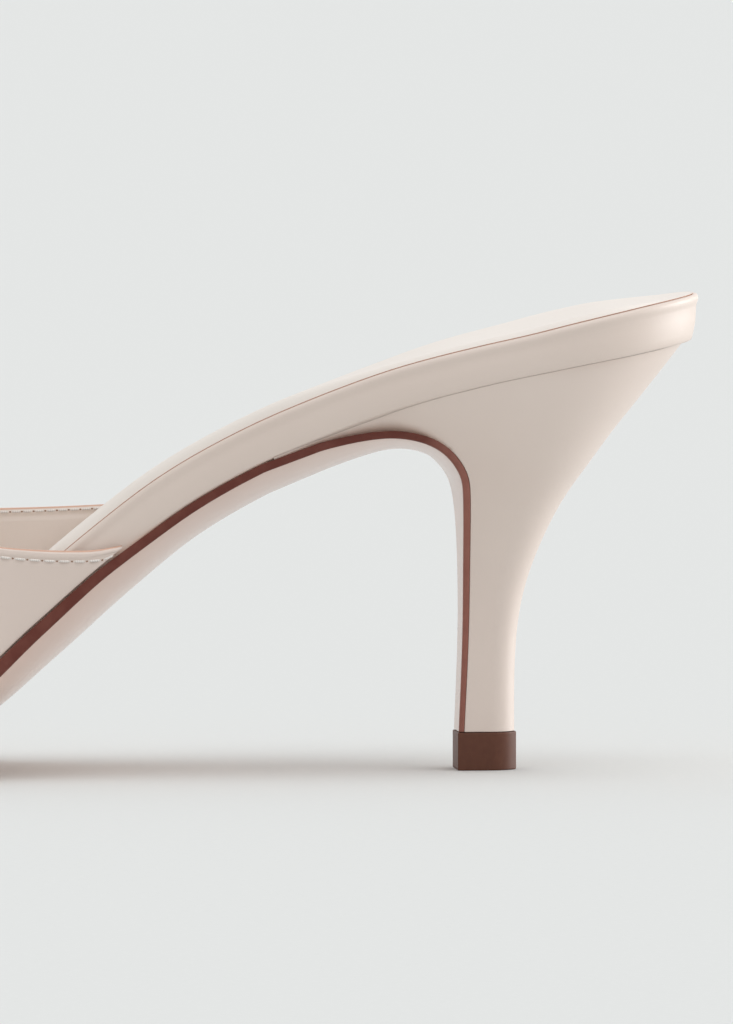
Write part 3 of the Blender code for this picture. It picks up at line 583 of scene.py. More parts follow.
def topline_z(x, share):
    """Height of the topline at x, from the inner side (share 0) to the outer one (share 1)."""
    along = (HEEL_OVERHANG - x) / SHOE_LENGTH
    past_in, past_out = along - TOPLINE_IN_LOW_AT, along - TOPLINE_OUT_LOW_AT
    inner = TOPLINE_IN + np.where(past_in > 0, TOPLINE_IN_CURVE, TOPLINE_CORNER_CURVE) * past_in ** 2
    outer = TOPLINE_OUT + TOPLINE_OUT_CURVE * past_out ** 2
    return HEEL_RISE * mix(inner, outer, ease(share, 0.0, 1.0))


def corner_along(side):
    """Share of the length where the topline reaches the sole, on the inner (-1) or outer (1) side."""
    along = np.linspace(*CORNER_SOUGHT, CORNER_TRIES)
    x, _, z = base_line(side, along)
    return float(along[np.argmax(z >= topline_z(x, 0.0 if side < 0 else 1.0))])


def upper_welt(along, side):
    """How far the outsole stands out past the insole: flush behind the upper, under its wall beside it."""
    corner = corner_along(side)
    bare_toe = TOE_OPEN_IN if side < 0 else TOE_OPEN_OUT
    lasted = GAP + UPPER_EASE + UPPER_WALL + WELT_PAST_UPPER
    beside = mix(SOLE_FLUSH, lasted, ease(along, corner - CORNER_EASE, corner + CORNER_EASE))
    return mix(beside, TOE_WELT, ease(along, bare_toe, bare_toe + TOE_EASE))


SOLE_FIBRE_MM = (33.3, 3.85, 3.85)  # bundles of fibres lie along the sole


def sole_leather(name, colour, shade, wear):
    """Vegetable-tanned sole leather: dense, matt, with faint fibres and a buffed surface."""
    made = leather(name, colour, shade, roughness=0.45, grain=0.05, pore_mm=0.7, coat=0.7)
    tree = made.node_tree
    shader = tree.nodes["Principled BSDF"]
    shader.inputs["Coat Roughness"].default_value = 0.16
    place = add(tree, "ShaderNodeTexCoord").outputs["Object"]
    stretch = add(tree, "ShaderNodeMapping", {"Scale": [per_metre(size) for size in SOLE_FIBRE_MM]},
                  Vector=place)
    streaks = add(tree, "ShaderNodeTexNoise", {"Scale": 1.0, "Detail": 4.0}, Vector=stretch.outputs["Vector"])
    share = add(tree, "ShaderNodeMath", {"operation": "MULTIPLY", 1: wear}, i0=streaks.outputs["Fac"])
    colour_in = shader.inputs["Base Color"].links[0].from_socket
    tone = add(tree, "ShaderNodeMix", {"data_type": "RGBA", 7: linear(shade)}, i0=share.outputs["Value"])
    tree.links.new(colour_in, tone.inputs[6])
    tree.links.new(tone.outputs[2], shader.inputs["Base Color"])
    return made


THIN_PAINT_MM = 3.85
BREAST_PALER_FROM = -0.012       # the paint on the heel's breast is drawn lighter from this x to the next
BREAST_PALER_TO = -0.004
BREAST_PALER = 0.55


def edge_paint(name, dark, paler):
    """Acrylic edge paint over burnished leather: two dark coats, slightly lighter where it is thin, and drawn
    lighter down the heel's breast.
    """
    made, tree, shader, place = blank(name, Roughness=0.5, Specular_IOR_Level=0.3)
    thin = add(tree, "ShaderNodeTexNoise", {"Scale": per_metre(THIN_PAINT_MM), "Detail": 4.0,
                                            "Roughness": 0.6}, Vector=place)
    breast = add(tree, "ShaderNodeSeparateXYZ", Vector=place)
    down = add(tree, "ShaderNodeMapRange", {"From Min": BREAST_PALER_FROM, "From Max": BREAST_PALER_TO,
                                            "To Max": BREAST_PALER}, Value=breast.outputs["X"])
    patch = add(tree, "ShaderNodeMapRange", {"From Min": 0.4, "From Max": 0.75, "To Max": 0.16},
                Value=thin.outputs["Fac"])
    both = add(tree, "ShaderNodeMath", {"operation": "ADD"}, i0=down.outputs["Result"],
               i1=patch.outputs["Result"])
    tone = add(tree, "ShaderNodeMix", {"data_type": "RGBA", 6: linear(dark), 7: linear(paler)},
               i0=both.outputs["Value"])
    tree.links.new(tone.outputs[2], shader.inputs["Base Color"])
    bump = add(tree, "ShaderNodeBump", {"Strength": 0.25, "Distance": 0.00005}, Height=thin.outputs["Fac"])
    tree.links.new(bump.outputs["Normal"], shader.inputs["Normal"])
    return made


sole_track = outsole_track()
lip = float(np.interp(LIP_JOINS_AT + JUST_PAST, sole_track.at("along", sole_track.s), sole_track.s))
stops = np.concatenate([
    np.linspace(0.0, lip, SOLE_FLAP_STEPS + 1)[:-1],
    lip + (sole_track.s[-1] - lip) * np.sin(np.linspace(0.0, math.pi / 2, SOLE_STEPS)),
])
along, edge = sole_track.at("along", stops), sole_track.at("edge", stops)
grow = [upper_welt(along, side) for side in (-1, 1)]
rings = (
    [(SOLE_ROUND * inset, SOLE_ROUND * rise - GAP / 2 - edge) for inset, rise in SOLE_CORNER]
    + [(0.0, -GAP / 2), (SOLE_ROUND * 0.4, -GAP / 4)]
)
underside = sole_leather("outsole, pale veg-tanned leather", "#E8D2C6", "#DABEB0", 0.5)
paint = edge_paint("outsole edge, dark brown paint", "#642F24", "#AC7466")
outsole = plate("outsole_leather", sole_track, stops, rings, grow, SOLE_ACROSS, [underside, paint],
                [0, 1, 1, 1, 1, 0], crown_low=sole_track.at("crown", stops), floor=0.0)
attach(outsole, "root")
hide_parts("outsole")


# Heel: a moulded block covered in the upper's cream leather, pulled tight and turned in under the
# insole and behind the breast, so that only fine seams show where it meets them.

HEEL_SPARE = 0.0075        # how far the heel's blank runs past its seat, and a third of it past its breast
HEEL_PAST_SEAT = 0.0010    # how far the blank's last loop stands above its seat
CUTTER_HALF = 0.040
CUTTER_DEEP = 0.030
CUTTER_BELOW = 0.01        # it runs on by this below the tip
CUTTER_BEHIND = 5.0        # and by this many of its own steps behind the seat
CUTTER_ACROSS = 65
SEAT_CUT_TO = 0.36         # shares of the insole's and the outsole's length that the cutters cover
SEAT_CUT_STEPS = 60
BREAST_CUT_TO = 0.42
BREAST_CUT_STEPS = 110
TURNED_IN = 0.00018        # rounding of the cover where it is turned in
BEVEL_OVER = math.radians(50)
HEEL_STEPS = 90
HEEL_SIDE_STEPS = 16
HEEL_BACK_STEPS = 22
SEAM = 0.00003             # gap left at the heel's seams


def heel_section(front_x, front_z, back_x, back_z, front_half, side_half, past=(0.0, 0.0)):
    """A loop round the heel: flat at the breast, widening to its middle and round at the back.

    past moves the breast in x and z, between its corners."""
    flat = np.linspace(0.0, HEEL_ROUND_FROM, HEEL_SIDE_STEPS + 1)
    turn = np.linspace(0.0, math.pi / 2, HEEL_BACK_STEPS + 1)[1:]
    share = np.concatenate([flat, HEEL_ROUND_FROM + (1.0 - HEEL_ROUND_FROM) * np.sin(turn)])
    half = np.concatenate([
        mix(front_half, side_half, np.sin(flat / HEEL_ROUND_FROM * math.pi / 2)),
        side_half * np.cos(turn),
    ])
    outer = np.stack([mix(front_x, back_x, share), half, mix(front_z, back_z, share)], axis=1)
    inner = outer[-2::-1] * (1.0, -1.0, 1.0)
    across = np.linspace(-1.0, 1.0, HEEL_SIDE_STEPS + 1)[1:-1]
    still = np.zeros_like(across)
    breast = np.stack([front_x + past[0] + still, across * front_half, front_z + past[1] + still], axis=1)
    return np.concatenate([outer, inner, breast])


def seat_rise(points, front, back):
    """How far the insole's underside stands above the line from the lip to the back of the seat."""
    track = insole_track()
    along = (HEEL_OVERHANG - points[:, 0]) / SHOE_LENGTH
    s = np.interp(along, track.values["along"], track.s)
    line = np.interp(points[:, 0], [front[0], back[0]], [front[1], back[1]])
    return seam_z(along) + track.cup(s, points[:, 1]) - line


def heel_blank(steps, track):
    """Loops round a blank of the heel that runs past its seat, past its breast and on along its lip."""
    rows = heel_rows(steps)
    past = HEEL_SPARE / 3
    sizes = list(zip(*(rows[name] for name in ("front_x", "front_z", "back_x", "back_z",
                                               "front_half", "side_half", "seated"))))
    seat = sizes[-1]
    sizes.append((seam_x(LIP_JOINS_AT), float(seam_z(LIP_JOINS_AT)), *seat[2:]))
    loops = []
    for size in sizes:
        near = np.argmin(np.hypot(track.x - size[0], track.z - size[1]))
        out_x, out_z = track.up_x[near], track.up_z[near] if loops else 0.0
        loop = heel_section(*size[:6], past=(-past * out_x, -past * out_z))
        lip = size if size is sizes[-1] else seat
        loop[:, 2] += size[6] * (seat_rise(loop, lip[:2], lip[2:4]) + HEEL_PAST_SEAT)
        loops.append(loop)
    loops.append(loops[-1] + (0.0, 0.0, HEEL_SPARE))
    return np.array(loops)


def block(name, grid, reach):
    """A closed cutter from a grid of points and the same grid moved by reach."""
    rows, columns = grid.shape[:2]
    points = np.concatenate([grid.reshape(-1, 3), (grid + reach).reshape(-1, 3)])
    shift = rows * columns
    faces = []
    for i in range(rows - 1):
        for j in range(columns - 1):
            corner = i * columns + j
            cell = (corner, corner + 1, corner + columns + 1, corner + columns)
            faces.append(cell)
            faces.append(tuple(shift + k for k in reversed(cell)))
    rim = (
        [i * columns for i in range(rows - 1)]
        + [(rows - 1) * columns + j for j in range(columns - 1)]
        + [i * columns + columns - 1 for i in range(rows - 1, 0, -1)]
        + [j for j in range(columns - 1, 0, -1)]
    )
    faces.extend((a, b, shift + b, shift + a) for a, b in zip(rim, rim[1:] + rim[:1]))
    return piece(name, points, faces, [])


def soften(obj, label, width, segments):
    """Rounds an object's sharp edges as the real ones are."""
    edge = obj.modifiers.new(label, "BEVEL")
    edge.width, edge.segments = width, segments
    edge.limit_method = "ANGLE"
    edge.angle_limit = BEVEL_OVER
    return edge


# The heel's cover is the insole's and the upper's cream leather, painted lighter: the extra lightness stands
# in for light falling on the heel's flank.
heel_leather_painted_lighter = leather("heel cover, cream calf leather painted lighter", "#E6D8CE", "#E1D1C7")
heel = tube("heel_cover", heel_blank(HEEL_STEPS, sole_track), [heel_leather_painted_lighter])

y = np.linspace(-CUTTER_HALF, CUTTER_HALF, CUTTER_ACROSS)
stops = np.linspace(0.0, track.s[-1] * SEAT_CUT_TO, SEAT_CUT_STEPS)
seat = track.point(stops[:, None], y[None, :], SEAM)
behind = seat[:1] + (seat[:1] - seat[1:2]) * CUTTER_BEHIND
seat_block = block("seat_cutter", np.concatenate([behind, seat]), np.array([0.0, 0.0, CUTTER_DEEP]))
stops = np.linspace(0.0, sole_track.s[-1] * BREAST_CUT_TO, BREAST_CUT_STEPS)
breast = sole_track.point(stops[:, None], y[None, :], -SEAM)
below = breast[:1] - np.array([0.0, 0.0, CUTTER_BELOW])
breast_block = block("breast_cutter", np.concatenate([below, breast]),
                     np.array([-CUTTER_DEEP, 0.0, -CUTTER_DEEP]))
for cutter in (seat_block, breast_block):
    cut = heel.modifiers.new(cutter.name, "BOOLEAN")
    cut.operation = "DIFFERENCE"
    cut.object = cutter
shaped = bpy.data.meshes.new_from_object(heel.evaluated_get(bpy.context.evaluated_depsgraph_get()))
heel.modifiers.clear()
heel.data = shaped
shaped.shade_smooth()
shaped.set_sharp_from_angle(angle=SMOOTH_UNDER)
for cutter in (seat_block, breast_block):
    bpy.data.objects.remove(cutter)
soften(heel, "turned in edge", TURNED_IN, 2).use_clamp_overlap = True
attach(heel, "root")
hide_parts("heel")


# Heel tip: a cast rubber top piece, pinned under the heel, trimmed flush and slightly rounded.

TIP_ROUND = 0.0002
TIP_UP = 0.6               # share of the gap above it that the tip fills
GRIT_MM = 1.11             # real grit is finer than a pixel: it is drawn coarser

loops = np.array([
    heel_section(-TIP_LENGTH / 2, z, TIP_LENGTH / 2, z, TIP_WIDTH / 2, TIP_WIDTH / 2)
    for z in (0.0, TIP_HEIGHT + GAP * TIP_UP)
])

# Cast rubber is dull and even, and its grit only breaks up the gloss.
tip_rubber, tree, shader, place = blank("heel tip, dark brown rubber", Specular_IOR_Level=0.3)
grit = add(tree, "ShaderNodeTexNoise", {"Scale": per_metre(GRIT_MM), "Detail": 4.0, "Roughness": 0.6},
           Vector=place)
tone = add(tree, "ShaderNodeMix", {"data_type": "RGBA", 6: linear("#573224"), 7: linear("#68402F")},
           i0=grit.outputs["Fac"])
tree.links.new(tone.outputs[2], shader.inputs["Base Color"])
rub = add(tree, "ShaderNodeMapRange", {"To Min": 0.38, "To Max": 0.55}, Value=grit.outputs["Fac"])
tree.links.new(rub.outputs["Result"], shader.inputs["Roughness"])
bump = add(tree, "ShaderNodeBump", {"Strength": 0.15, "Distance": 0.00004}, Height=grit.outputs["Fac"])
tree.links.new(bump.outputs["Normal"], shader.inputs["Normal"])
tip = tube("heel_tip_rubber", loops, [tip_rubber])
soften(tip, "trimmed edge", TIP_ROUND, 3)
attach(tip, "root")
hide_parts("heel_tip")


# Upper: one band of cream calf leather over the foot, lasted between insole and outsole. The leather
# is folded over at the topline and the toe opening, and stitched there to a thin lining.

UPPER_SWELL = 0.0024       # how far the band bulges past the sole
RIDGE_HIGH = 0.0485        # top of the band above the seam, at the ball
RIDGE_SIDE = 0.0060        # ridge of the foot, towards the inner side
RIDGE_COLUMNS = ("along", "high")
RIDGE = (
    (0.30, 1.42),
    (0.40, 1.36),
    (0.45, 1.32),
    (0.50, 1.26),
    (0.55, 1.185),
    (0.60, 1.092),
    (0.65, 1.00),
    (0.70, 0.907),
    (0.75, 0.825),
    (0.80, 0.752),
    (0.85, 0.680),
    (0.90, 0.625),
    (1.00, 0.540),
)
WALL_IN = 2.45             # fullness of the inner and the outer wall: 2 is an ellipse
WALL_OUT = 2.10
TOE_OPEN_BACK = 0.040      # middle of the toe opening behind its ends, share of the length
BAND_SOUGHT = (0.25, 0.97) # the band meets the sole between these shares of the length
REAR_SOUGHT = (0.80, 0.20) # its rear edge is looked for from the first of these shares to the second
REAR_TRIES = 61
REAR_HALVINGS = 30
OUTER_THICK = 0.00087
LINING_THICK = 0.00058
BAND_STEPS_ACROSS = 230
BAND_STEPS_ALONG = 120
MEASURED_AT_ONCE = 4000    # points whose way to the edge is measured together
ROW_FROM_EDGE = 0.00138    # stitch row below the folded edge
FOLD_DEEP = 0.0011         # the folded edge is a little fuller over this width
FOLD_FULL = 0.0002         # by this much
FOLD_ROUND = 0.00038
GROOVE_HALF = 0.0009       # the stitches pull a groove into the leather: half its width, and its depth
GROOVE_DEEP = 0.00022


class Band:
    """The upper's outside: skin(x, share) is its place at x, from the inner foot (share 0) to the outer."""

    def __init__(self):
        along = np.linspace(*BAND_SOUGHT, TRACK_POINTS)
        self.inner, self.outer = base_line(-1, along), base_line(1, along)

    def foot(self, x):
        """y and z of the inner and the outer base line at x."""
        found = []
        for line in (self.inner, self.outer):
            order = np.argsort(line[0])
            found.extend(np.interp(x, line[0][order], line[i][order]) for i in (1, 2))
        return found

    def skin(self, x, share):
        in_y, in_z, out_y, out_z = self.foot(x)
        along = (HEEL_OVERHANG - x) / SHOE_LENGTH
        high = seam_z(along) + RIDGE_HIGH * glide(RIDGE, RIDGE_COLUMNS, "high", along)
        angle = math.pi * share
        is_in = share <= 0.5
        power = 2.0 / (WALL_IN if is_in else WALL_OUT)
        reach, lift = abs(math.cos(angle)) ** power, math.sin(angle) ** power
        foot_y, foot_z = (in_y, in_z) if is_in else (out_y, out_z)
        ridge_y = 0.5 * (in_y + out_y) - RIDGE_SIDE
        swell = -UPPER_SWELL * math.sin(2 * angle)
        return np.array([x, mix(ridge_y, foot_y, reach) + swell, mix(foot_z, high, lift)])

    def rear(self, share):
        """x where the band is cut by the topline, looked for from the toe backwards."""
        front = seam_x(REAR_SOUGHT[0])
        for back in seam_x(np.linspace(*REAR_SOUGHT, REAR_TRIES)):
            if self.skin(back, share)[2] >= topline_z(back, share):
                break
            front = back
        for _ in range(REAR_HALVINGS):
            x = 0.5 * (front + back)
            if self.skin(x, share)[2] > topline_z(x, share):
                back = x
            else:
                front = x
        return x

    def front(self, share):
        along = mix(TOE_OPEN_IN, TOE_OPEN_OUT, share) - TOE_OPEN_BACK * math.sin(math.pi * share)
        return seam_x(along)


def row_line(grid, at_rear, margin):
    """Points that lie margin inside the band's rear or front edge, square to the edge."""
    line = grid[:, 0] if at_rear else grid[:, -1]
    inward = grid[:, 1] if at_rear else grid[:, -2]
    run = np.gradient(line, axis=0)
    run /= np.linalg.norm(run, axis=1)[:, None]
    way = inward - line
    way -= (way * run).sum(axis=1)[:, None] * run
    way /= np.maximum(np.linalg.norm(way, axis=1), 1e-9)[:, None]
    return line + way * margin


def band_grid(name, finish, shift, peek=0.0):
    """The band's surface moved along its normals by shift, its two edges moved outwards by peek."""
    band = Band()
    points = []
    for across in np.linspace(0.0, 1.0, BAND_STEPS_ACROSS + 1):
        rear, front = band.rear(across), band.front(across)
        points.extend(band.skin(x, across) for x in np.linspace(rear, front, BAND_STEPS_ALONG + 1))
    size = BAND_STEPS_ALONG + 1
    faces = [
        (i * size + j, (i + 1) * size + j, (i + 1) * size + j + 1, i * size + j + 1)
        for i in range(BAND_STEPS_ACROSS)
        for j in range(BAND_STEPS_ALONG)
    ]
    mesh = bpy.data.meshes.new(name)
    mesh.from_pydata([tuple(point) for point in points], [], faces)
    mesh.materials.append(finish)
    mesh.update()
    count = len(mesh.vertices)
    flat = np.empty(count * 3)
    mesh.vertices.foreach_get("normal", flat)
    normals = flat.reshape(-1, 3)
    moved = np.array(points) + normals * shift
    grid = moved.reshape(BAND_STEPS_ACROSS + 1, size, 3)
    grid[:, 0], grid[:, -1] = row_line(grid, True, -peek), row_line(grid, False, -peek)
    from_edge = np.full(count, 1.0)
    for line in (grid[:, 0], grid[:, -1]):
        for start in range(0, count, MEASURED_AT_ONCE):
            some = slice(start, start + MEASURED_AT_ONCE)
            gap = np.linalg.norm(moved[some, None] - line[None], axis=2).min(axis=1)
            from_edge[some] = np.minimum(from_edge[some], gap)
    mesh.vertices.foreach_set("co", moved.ravel())
    distance = mesh.attributes.new("from_edge", "FLOAT", "POINT")
    distance.data.foreach_set("value", from_edge)
    mesh.shade_smooth()
    return placed(name, mesh), grid, normals.reshape(grid.shape)


def fold_and_row(made, fold, row):
    """Adds to a leather the fuller folded edge and the groove that the stitches pull into it."""
    tree = made.node_tree
    shader = tree.nodes["Principled BSDF"]
    away = add(tree, "ShaderNodeAttribute", {"attribute_name": "from_edge"}).outputs["Fac"]
    off_row = add(tree, "ShaderNodeMath", {"operation": "SUBTRACT", 1: ROW_FROM_EDGE}, i0=away)
    groove = add(tree, "ShaderNodeMath", {"operation": "ABSOLUTE"}, i0=off_row.outputs["Value"])
    pressed = add(tree, "ShaderNodeMapRange", {"interpolation_type": "SMOOTHSTEP", "From Max": GROOVE_HALF,
                                               "To Min": 0.0, "To Max": row}, Value=groove.outputs["Value"])
    full = add(tree, "ShaderNodeMapRange", {"interpolation_type": "SMOOTHSTEP", "From Max": FOLD_DEEP,
                                            "To Min": 0.0, "To Max": fold}, Value=away)
    height = add(tree, "ShaderNodeMath", {"operation": "ADD"}, i0=pressed.outputs["Result"],
                 i1=full.outputs["Result"])
    old = shader.inputs["Normal"].links[0].from_socket
    bump = add(tree, "ShaderNodeBump", {"Strength": 1.0, "Distance": 1.0}, Height=height.outputs["Value"])
    tree.links.new(old, bump.inputs["Normal"])
    tree.links.new(bump.outputs["Normal"], shader.inputs["Normal"])


upper_leather = leather("upper, cream calf leather", "#E1D2C8", "#DBCBC1")
fold_and_row(upper_leather, FOLD_FULL, GROOVE_DEEP)
upper, grid, normals = band_grid("upper_leather", upper_leather, 0.0)
wall = upper.modifiers.new("leather", "SOLIDIFY")
wall.thickness = OUTER_THICK
wall.offset = -1.0
soften(upper, "folded edge", FOLD_ROUND, 4)
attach(upper, "root")
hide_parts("upper")


# Lining of the band: thin undyed-looking goat leather, glued in and trimmed with a knife along the
# fold, so that its pinkish cut edge shows as a fine line above the folded edge.

CUT_PEEKS = 0.0002         # the lining's cut edge stands above the fold by this
CUT_FADES = (0.9, 1.4)     # its colour gives way to the lining's between these shares of it
LINING_GROOVE = 0.00015

# The lining is a pale leather, and its colour is painted lighter still: the extra lightness stands in for
# light inside the band.
lining_leather_painted_lighter = leather("lining, soft goat leather painted lighter", "#F3E8DF", "#ECDDD2", roughness=0.55, grain=0.07)
fold_and_row(lining_leather_painted_lighter, 0.0, LINING_GROOVE)
tree = lining_leather_painted_lighter.node_tree
shader = tree.nodes["Principled BSDF"]
away = add(tree, "ShaderNodeAttribute", {"attribute_name": "from_edge"}).outputs["Fac"]
cut_edge = add(tree, "ShaderNodeMapRange", {
    "interpolation_type": "SMOOTHSTEP", "From Min": CUT_PEEKS * CUT_FADES[0],
    "From Max": CUT_PEEKS * CUT_FADES[1], "To Min": 1.0, "To Max": 0.0}, Value=away)
tone = add(tree, "ShaderNodeMix", {"data_type": "RGBA", 7: linear("#DFB59F")}, i0=cut_edge.outputs["Result"])
tree.links.new(shader.inputs["Base Color"].links[0].from_socket, tone.inputs[6])
tree.links.new(tone.outputs[2], shader.inputs["Base Color"])
lining, lining_grid, lining_normals = band_grid("upper_lining", lining_leather_painted_lighter, -OUTER_THICK - HAIR,
                                                CUT_PEEKS)
wall = lining.modifiers.new("lining", "SOLIDIFY")
wall.thickness = LINING_THICK
wall.offset = -1.0
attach(lining, "root")


# Stitches: one row of bonded cream thread along the topline and round the toe opening, 2.5 mm long,
# each sunk between two needle holes. The bobbin side shows on the lining.

STITCH_PITCH = 0.0025
STITCH_LONG = 0.80         # share of the pitch that the thread covers
THREAD_THICK = 0.00034
THREAD_SINK = 0.00009
THREAD_ARCH = 0.42         # how high it arches over the leather, share of its thickness
THREAD_END = 0.12          # its ends taper to this share
THREAD_FLAT = 1.15         # it is pressed this much wider than high
THREAD_LOOPS = 9
THREAD_SIDES = 8
HOLE_WIDE = 0.00034
HOLE_OVAL = 0.8
HOLE_SIDES = 10
HOLE_LOOPS = ((HOLE_WIDE / 2, 0.00003), (HOLE_WIDE * 0.4, 0.00006), (0.0001, 0.00001))  # radius and height
INSIDE_FROM_EDGE = 0.00060 # the lining's row shows nearer to its cut edge
INSIDE_PITCH = 0.0019      # and is drawn tighter there


def capsule(start, end, up):
    """A short thread between two points that arches over the leather, as points and faces."""
    along = end - start
    length = along.length
    along.normalize()
    side = up.cross(along).normalized()
    points = []
    for i in range(THREAD_LOOPS):
        t = i / (THREAD_LOOPS - 1)
        radius = THREAD_THICK / 2 * max(THREAD_END, math.sqrt(max(0.0, 1.0 - (2 * t - 1) ** 6)))
        arch = (1.0 - (2 * t - 1) ** 4) * THREAD_THICK * THREAD_ARCH - THREAD_SINK
        centre = start + along * length * t + up * arch
        for turn in np.arange(THREAD_SIDES) * 2 * math.pi / THREAD_SIDES:
            out = side * (THREAD_FLAT * math.cos(turn)) + up * math.sin(turn)
            points.append(centre + out * radius)
    faces = strips(THREAD_LOOPS, THREAD_SIDES)
    faces.append(tuple(range(THREAD_SIDES))[::-1])
    faces.append(tuple((THREAD_LOOPS - 1) * THREAD_SIDES + j for j in range(THREAD_SIDES)))
    return points, faces


def disc(centre, up, along):
    """A shallow cup at a needle hole, as points and faces. It is drawn dark as painted shade."""
    side = up.cross(along).normalized()
    points = []
    for radius, high in HOLE_LOOPS:
        for turn in np.arange(HOLE_SIDES) * 2 * math.pi / HOLE_SIDES:
            out = side * (HOLE_OVAL * math.cos(turn)) + along * math.sin(turn)
            points.append(centre + out * radius + up * high)
    faces = strips(len(HOLE_LOOPS), HOLE_SIDES)
    faces.append(tuple((len(HOLE_LOOPS) - 1) * HOLE_SIDES + j for j in range(HOLE_SIDES)))
    return points, faces


def join(into, points, faces):
    """Adds points and faces to a pair of lists."""
    shift = len(into[0])
    into[0].extend(points)
    into[1].extend(tuple(shift + i for i in face) for face in faces)


def stitch_row(name, surface, lines, pitch, finish, hole_finish):
    """Stitches laid along lines on an object's surface, joined in one mesh, and their holes in another."""
    leather_tree = BVHTree.FromObject(surface, bpy.context.evaluated_depsgraph_get())
    threads, holes = ([], []), ([], [])
    for line in lines:
        length = np.concatenate([[0.0], np.cumsum(np.linalg.norm(np.diff(line, axis=0), axis=1))])

        def spot(stitch):
            """The leather's place and normal under a number of stitches along the line."""
            guess = [np.interp(stitch * pitch, length, line[:, i]) for i in range(3)]
            return leather_tree.find_nearest(Vector(guess))[:2]

        for k in range(1, int(length[-1] / pitch)):
            start, start_up = spot(k - 0.5 * STITCH_LONG)
            end, end_up = spot(k + 0.5 * STITCH_LONG)
            join(threads, *capsule(start, end, (start_up + end_up).normalized()))
            join(holes, *disc(*spot(k + 0.5), (end - start).normalized()))
    for label, (points, faces), look in ((name, threads, finish), (name + "_holes", holes, hole_finish)):
        mesh = bpy.data.meshes.new(label)
        mesh.from_pydata([tuple(point) for point in points], [], faces)
        mesh.materials.append(look)
        mesh.shade_smooth()
        row = placed(label, mesh)
        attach(row, "root")


TWIST_MM = 0.349           # one turn of the thread
WAVE = math.pi / 10        # distance between a wave texture's bands at scale 1

# Bonded polyester is smooth and a little glossy. The turns of its twist are bumped, and the light they catch
# is painted into its colour as lighter bands.
thread, tree, shader, place = blank("stitching, bonded cream polyester thread", Roughness=0.5,
                                    Sheen_Weight=0.15)
twist = add(tree, "ShaderNodeTexWave", {"Scale": per_metre(TWIST_MM) * WAVE, "Distortion": 1.5,
                                        "Detail": 1.0}, Vector=place)
# Painted highlight: the lighter of these two colours follows the turns of the twist.
tone = add(tree, "ShaderNodeMix", {"data_type": "RGBA", 6: linear("#DED7D0"), 7: linear("#ECE6E0")},
           i0=twist.outputs["Fac"])
tree.links.new(tone.outputs[2], shader.inputs["Base Color"])
bump = add(tree, "ShaderNodeBump", {"Strength": 0.4, "Distance": 0.00005}, Height=twist.outputs["Fac"])
tree.links.new(bump.outputs["Normal"], shader.inputs["Normal"])
# Painted shade: each needle hole is a dark disc that stands in for the shade inside the hole.
hole_shade = leather("needle holes, shadowed leather", "#A98873", "#96755F", roughness=0.8, grain=0.1,
                    coat=0.0)

outside = [row_line(grid, True, ROW_FROM_EDGE), row_line(grid, False, ROW_FROM_EDGE)]
stitch_row("stitches_outside", upper, outside, STITCH_PITCH, thread, hole_shade)
inner_grid = lining_grid - lining_normals * LINING_THICK
inside = [row_line(inner_grid, True, INSIDE_FROM_EDGE), row_line(inner_grid, False, INSIDE_FROM_EDGE)]
stitch_row("stitches_inside", lining, inside, INSIDE_PITCH, thread, hole_shade)


# Floor: a seamless sheet of pale grey studio paper that fills the picture.

FLOOR_HALF = 60.0
TOOTH_MM = 1.43

# Uncoated paper has no gloss, only a faint tooth.
paper, tree, shader, place = blank("floor, pale grey seamless paper", Roughness=0.9, Specular_IOR_Level=0.1)
tooth = add(tree, "ShaderNodeTexNoise", {"Scale": per_metre(TOOTH_MM), "Detail": 3.0}, Vector=place)
tone = add(tree, "ShaderNodeMix", {"data_type": "RGBA", 6: linear("#DFE1E0"), 7: linear("#E3E5E4")},
           i0=tooth.outputs["Fac"])
tree.links.new(tone.outputs[2], shader.inputs["Base Color"])
floor_mesh = bpy.data.meshes.new("floor_paper")
corners = [(x * FLOOR_HALF, y * FLOOR_HALF, 0.0) for x, y in ((-1, -1), (1, -1), (1, 1), (-1, 1))]
floor_mesh.from_pydata(corners, [], [(0, 1, 2, 3)])
floor_mesh.materials.append(paper)
floor = placed("floor_paper", floor_mesh)


# Light and camera: a white tent, one large soft source above the heel, and a white card on the right
# that lights the shoe alone. The camera is 2.5 m away with a long lens, 5 degrees round towards the
# toe, and cuts the toe off as the photo does.

TENT_STRENGTH = (0.66, 0.84)  # the tent is brighter behind the shoe than before it
SUN_STRENGTH = 0.93
SUN_WIDE = math.radians(55)   # as wide in the sky as a soft box
SUN_FROM = (0.22, -0.18, 0.92)
CARD_WIDE = 0.30
CARD_HIGH = 0.50
CARD_WATTS = 2.3
CARD_AT = (0.42, 0.17, 0.06)
CARD_FROM = (1.0, 0.0, 0.0)
CAMERA_AWAY = 2.5
CAMERA_TURN = math.radians(5.0)
CAMERA_RISE = math.radians(2.56)
PICTURE_HIGH = 0.16384     # height of the picture at the shoe, 0.16 mm a pixel
AIM_RIGHT = -0.01906       # middle of the picture from the heel tip
AIM_UP = 0.04109
FILM_MM = 36.0
SEEN_FROM = 0.1
SEEN_TO = 200.0


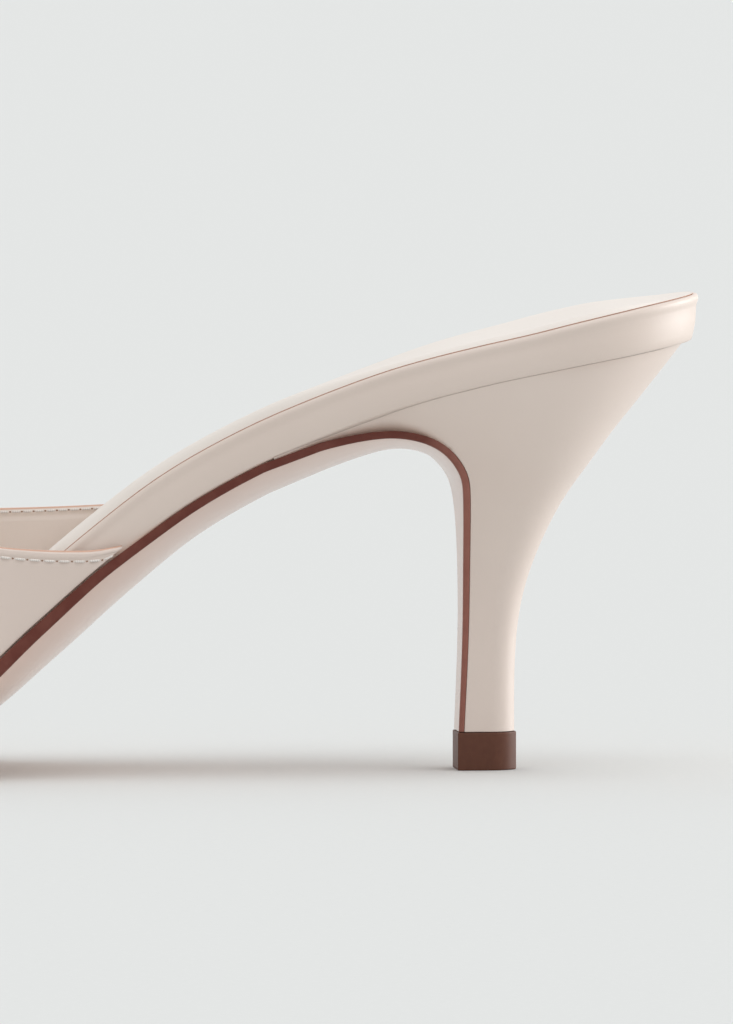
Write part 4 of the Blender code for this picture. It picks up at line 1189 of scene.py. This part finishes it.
def shine(light, away):
    """Puts a light in the scene, turned so that it shines from that direction."""
    placed_light = placed(light.name, light)
    placed_light.rotation_euler = Vector(away).to_track_quat("Z", "Y").to_euler()
    return placed_light


scene = bpy.context.scene
world = bpy.data.worlds.new("white tent")
scene.world = world
world.use_nodes = True
tree = world.node_tree
way = add(tree, "ShaderNodeSeparateXYZ", Vector=add(tree, "ShaderNodeTexCoord").outputs["Generated"])
strength = add(tree, "ShaderNodeMapRange", {"From Min": -1.0, "From Max": 1.0, "To Min": TENT_STRENGTH[0],
                                            "To Max": TENT_STRENGTH[1]}, Value=way.outputs["Y"])
background = tree.nodes["Background"]
background.inputs["Color"].default_value = linear("#FFFFFF")
tree.links.new(strength.outputs["Result"], background.inputs["Strength"])
sun = bpy.data.lights.new("soft top light", "SUN")
sun.energy = SUN_STRENGTH
sun.angle = SUN_WIDE
shine(sun, SUN_FROM)

card = bpy.data.lights.new("white card on the right", "AREA")
card.shape = "RECTANGLE"
card.size = CARD_WIDE
card.size_y = CARD_HIGH
card.energy = CARD_WATTS
card_at = shine(card, CARD_FROM)
card_at.location = CARD_AT
card_at.visible_camera = False
lit = bpy.data.collections.new("lit by the card")
for shoe_piece in [obj for obj in scene.objects if obj.type == "MESH" and obj is not floor]:
    lit.objects.link(shoe_piece)
card_at.light_linking.receiver_collection = lit

right = Vector((math.cos(CAMERA_TURN), -math.sin(CAMERA_TURN), 0.0))
level = Vector((-math.sin(CAMERA_TURN), -math.cos(CAMERA_TURN), 0.0))
away = level * math.cos(CAMERA_RISE) + Vector((0.0, 0.0, math.sin(CAMERA_RISE)))
above = away.cross(right)
camera = bpy.data.cameras.new("camera")
camera.sensor_width = FILM_MM
camera.lens = FILM_MM * CAMERA_AWAY / PICTURE_HIGH
camera.clip_start = SEEN_FROM
camera.clip_end = SEEN_TO
camera.dof.use_dof = False
camera_at = placed("camera", camera)
camera_at.matrix_world = (Matrix.Translation(right * AIM_RIGHT + above * AIM_UP + away * CAMERA_AWAY)
                          @ Matrix((right, above, away)).transposed().to_4x4())
scene.camera = camera_at
scene.view_settings.view_transform = "Standard"
scene.view_settings.look = "None"
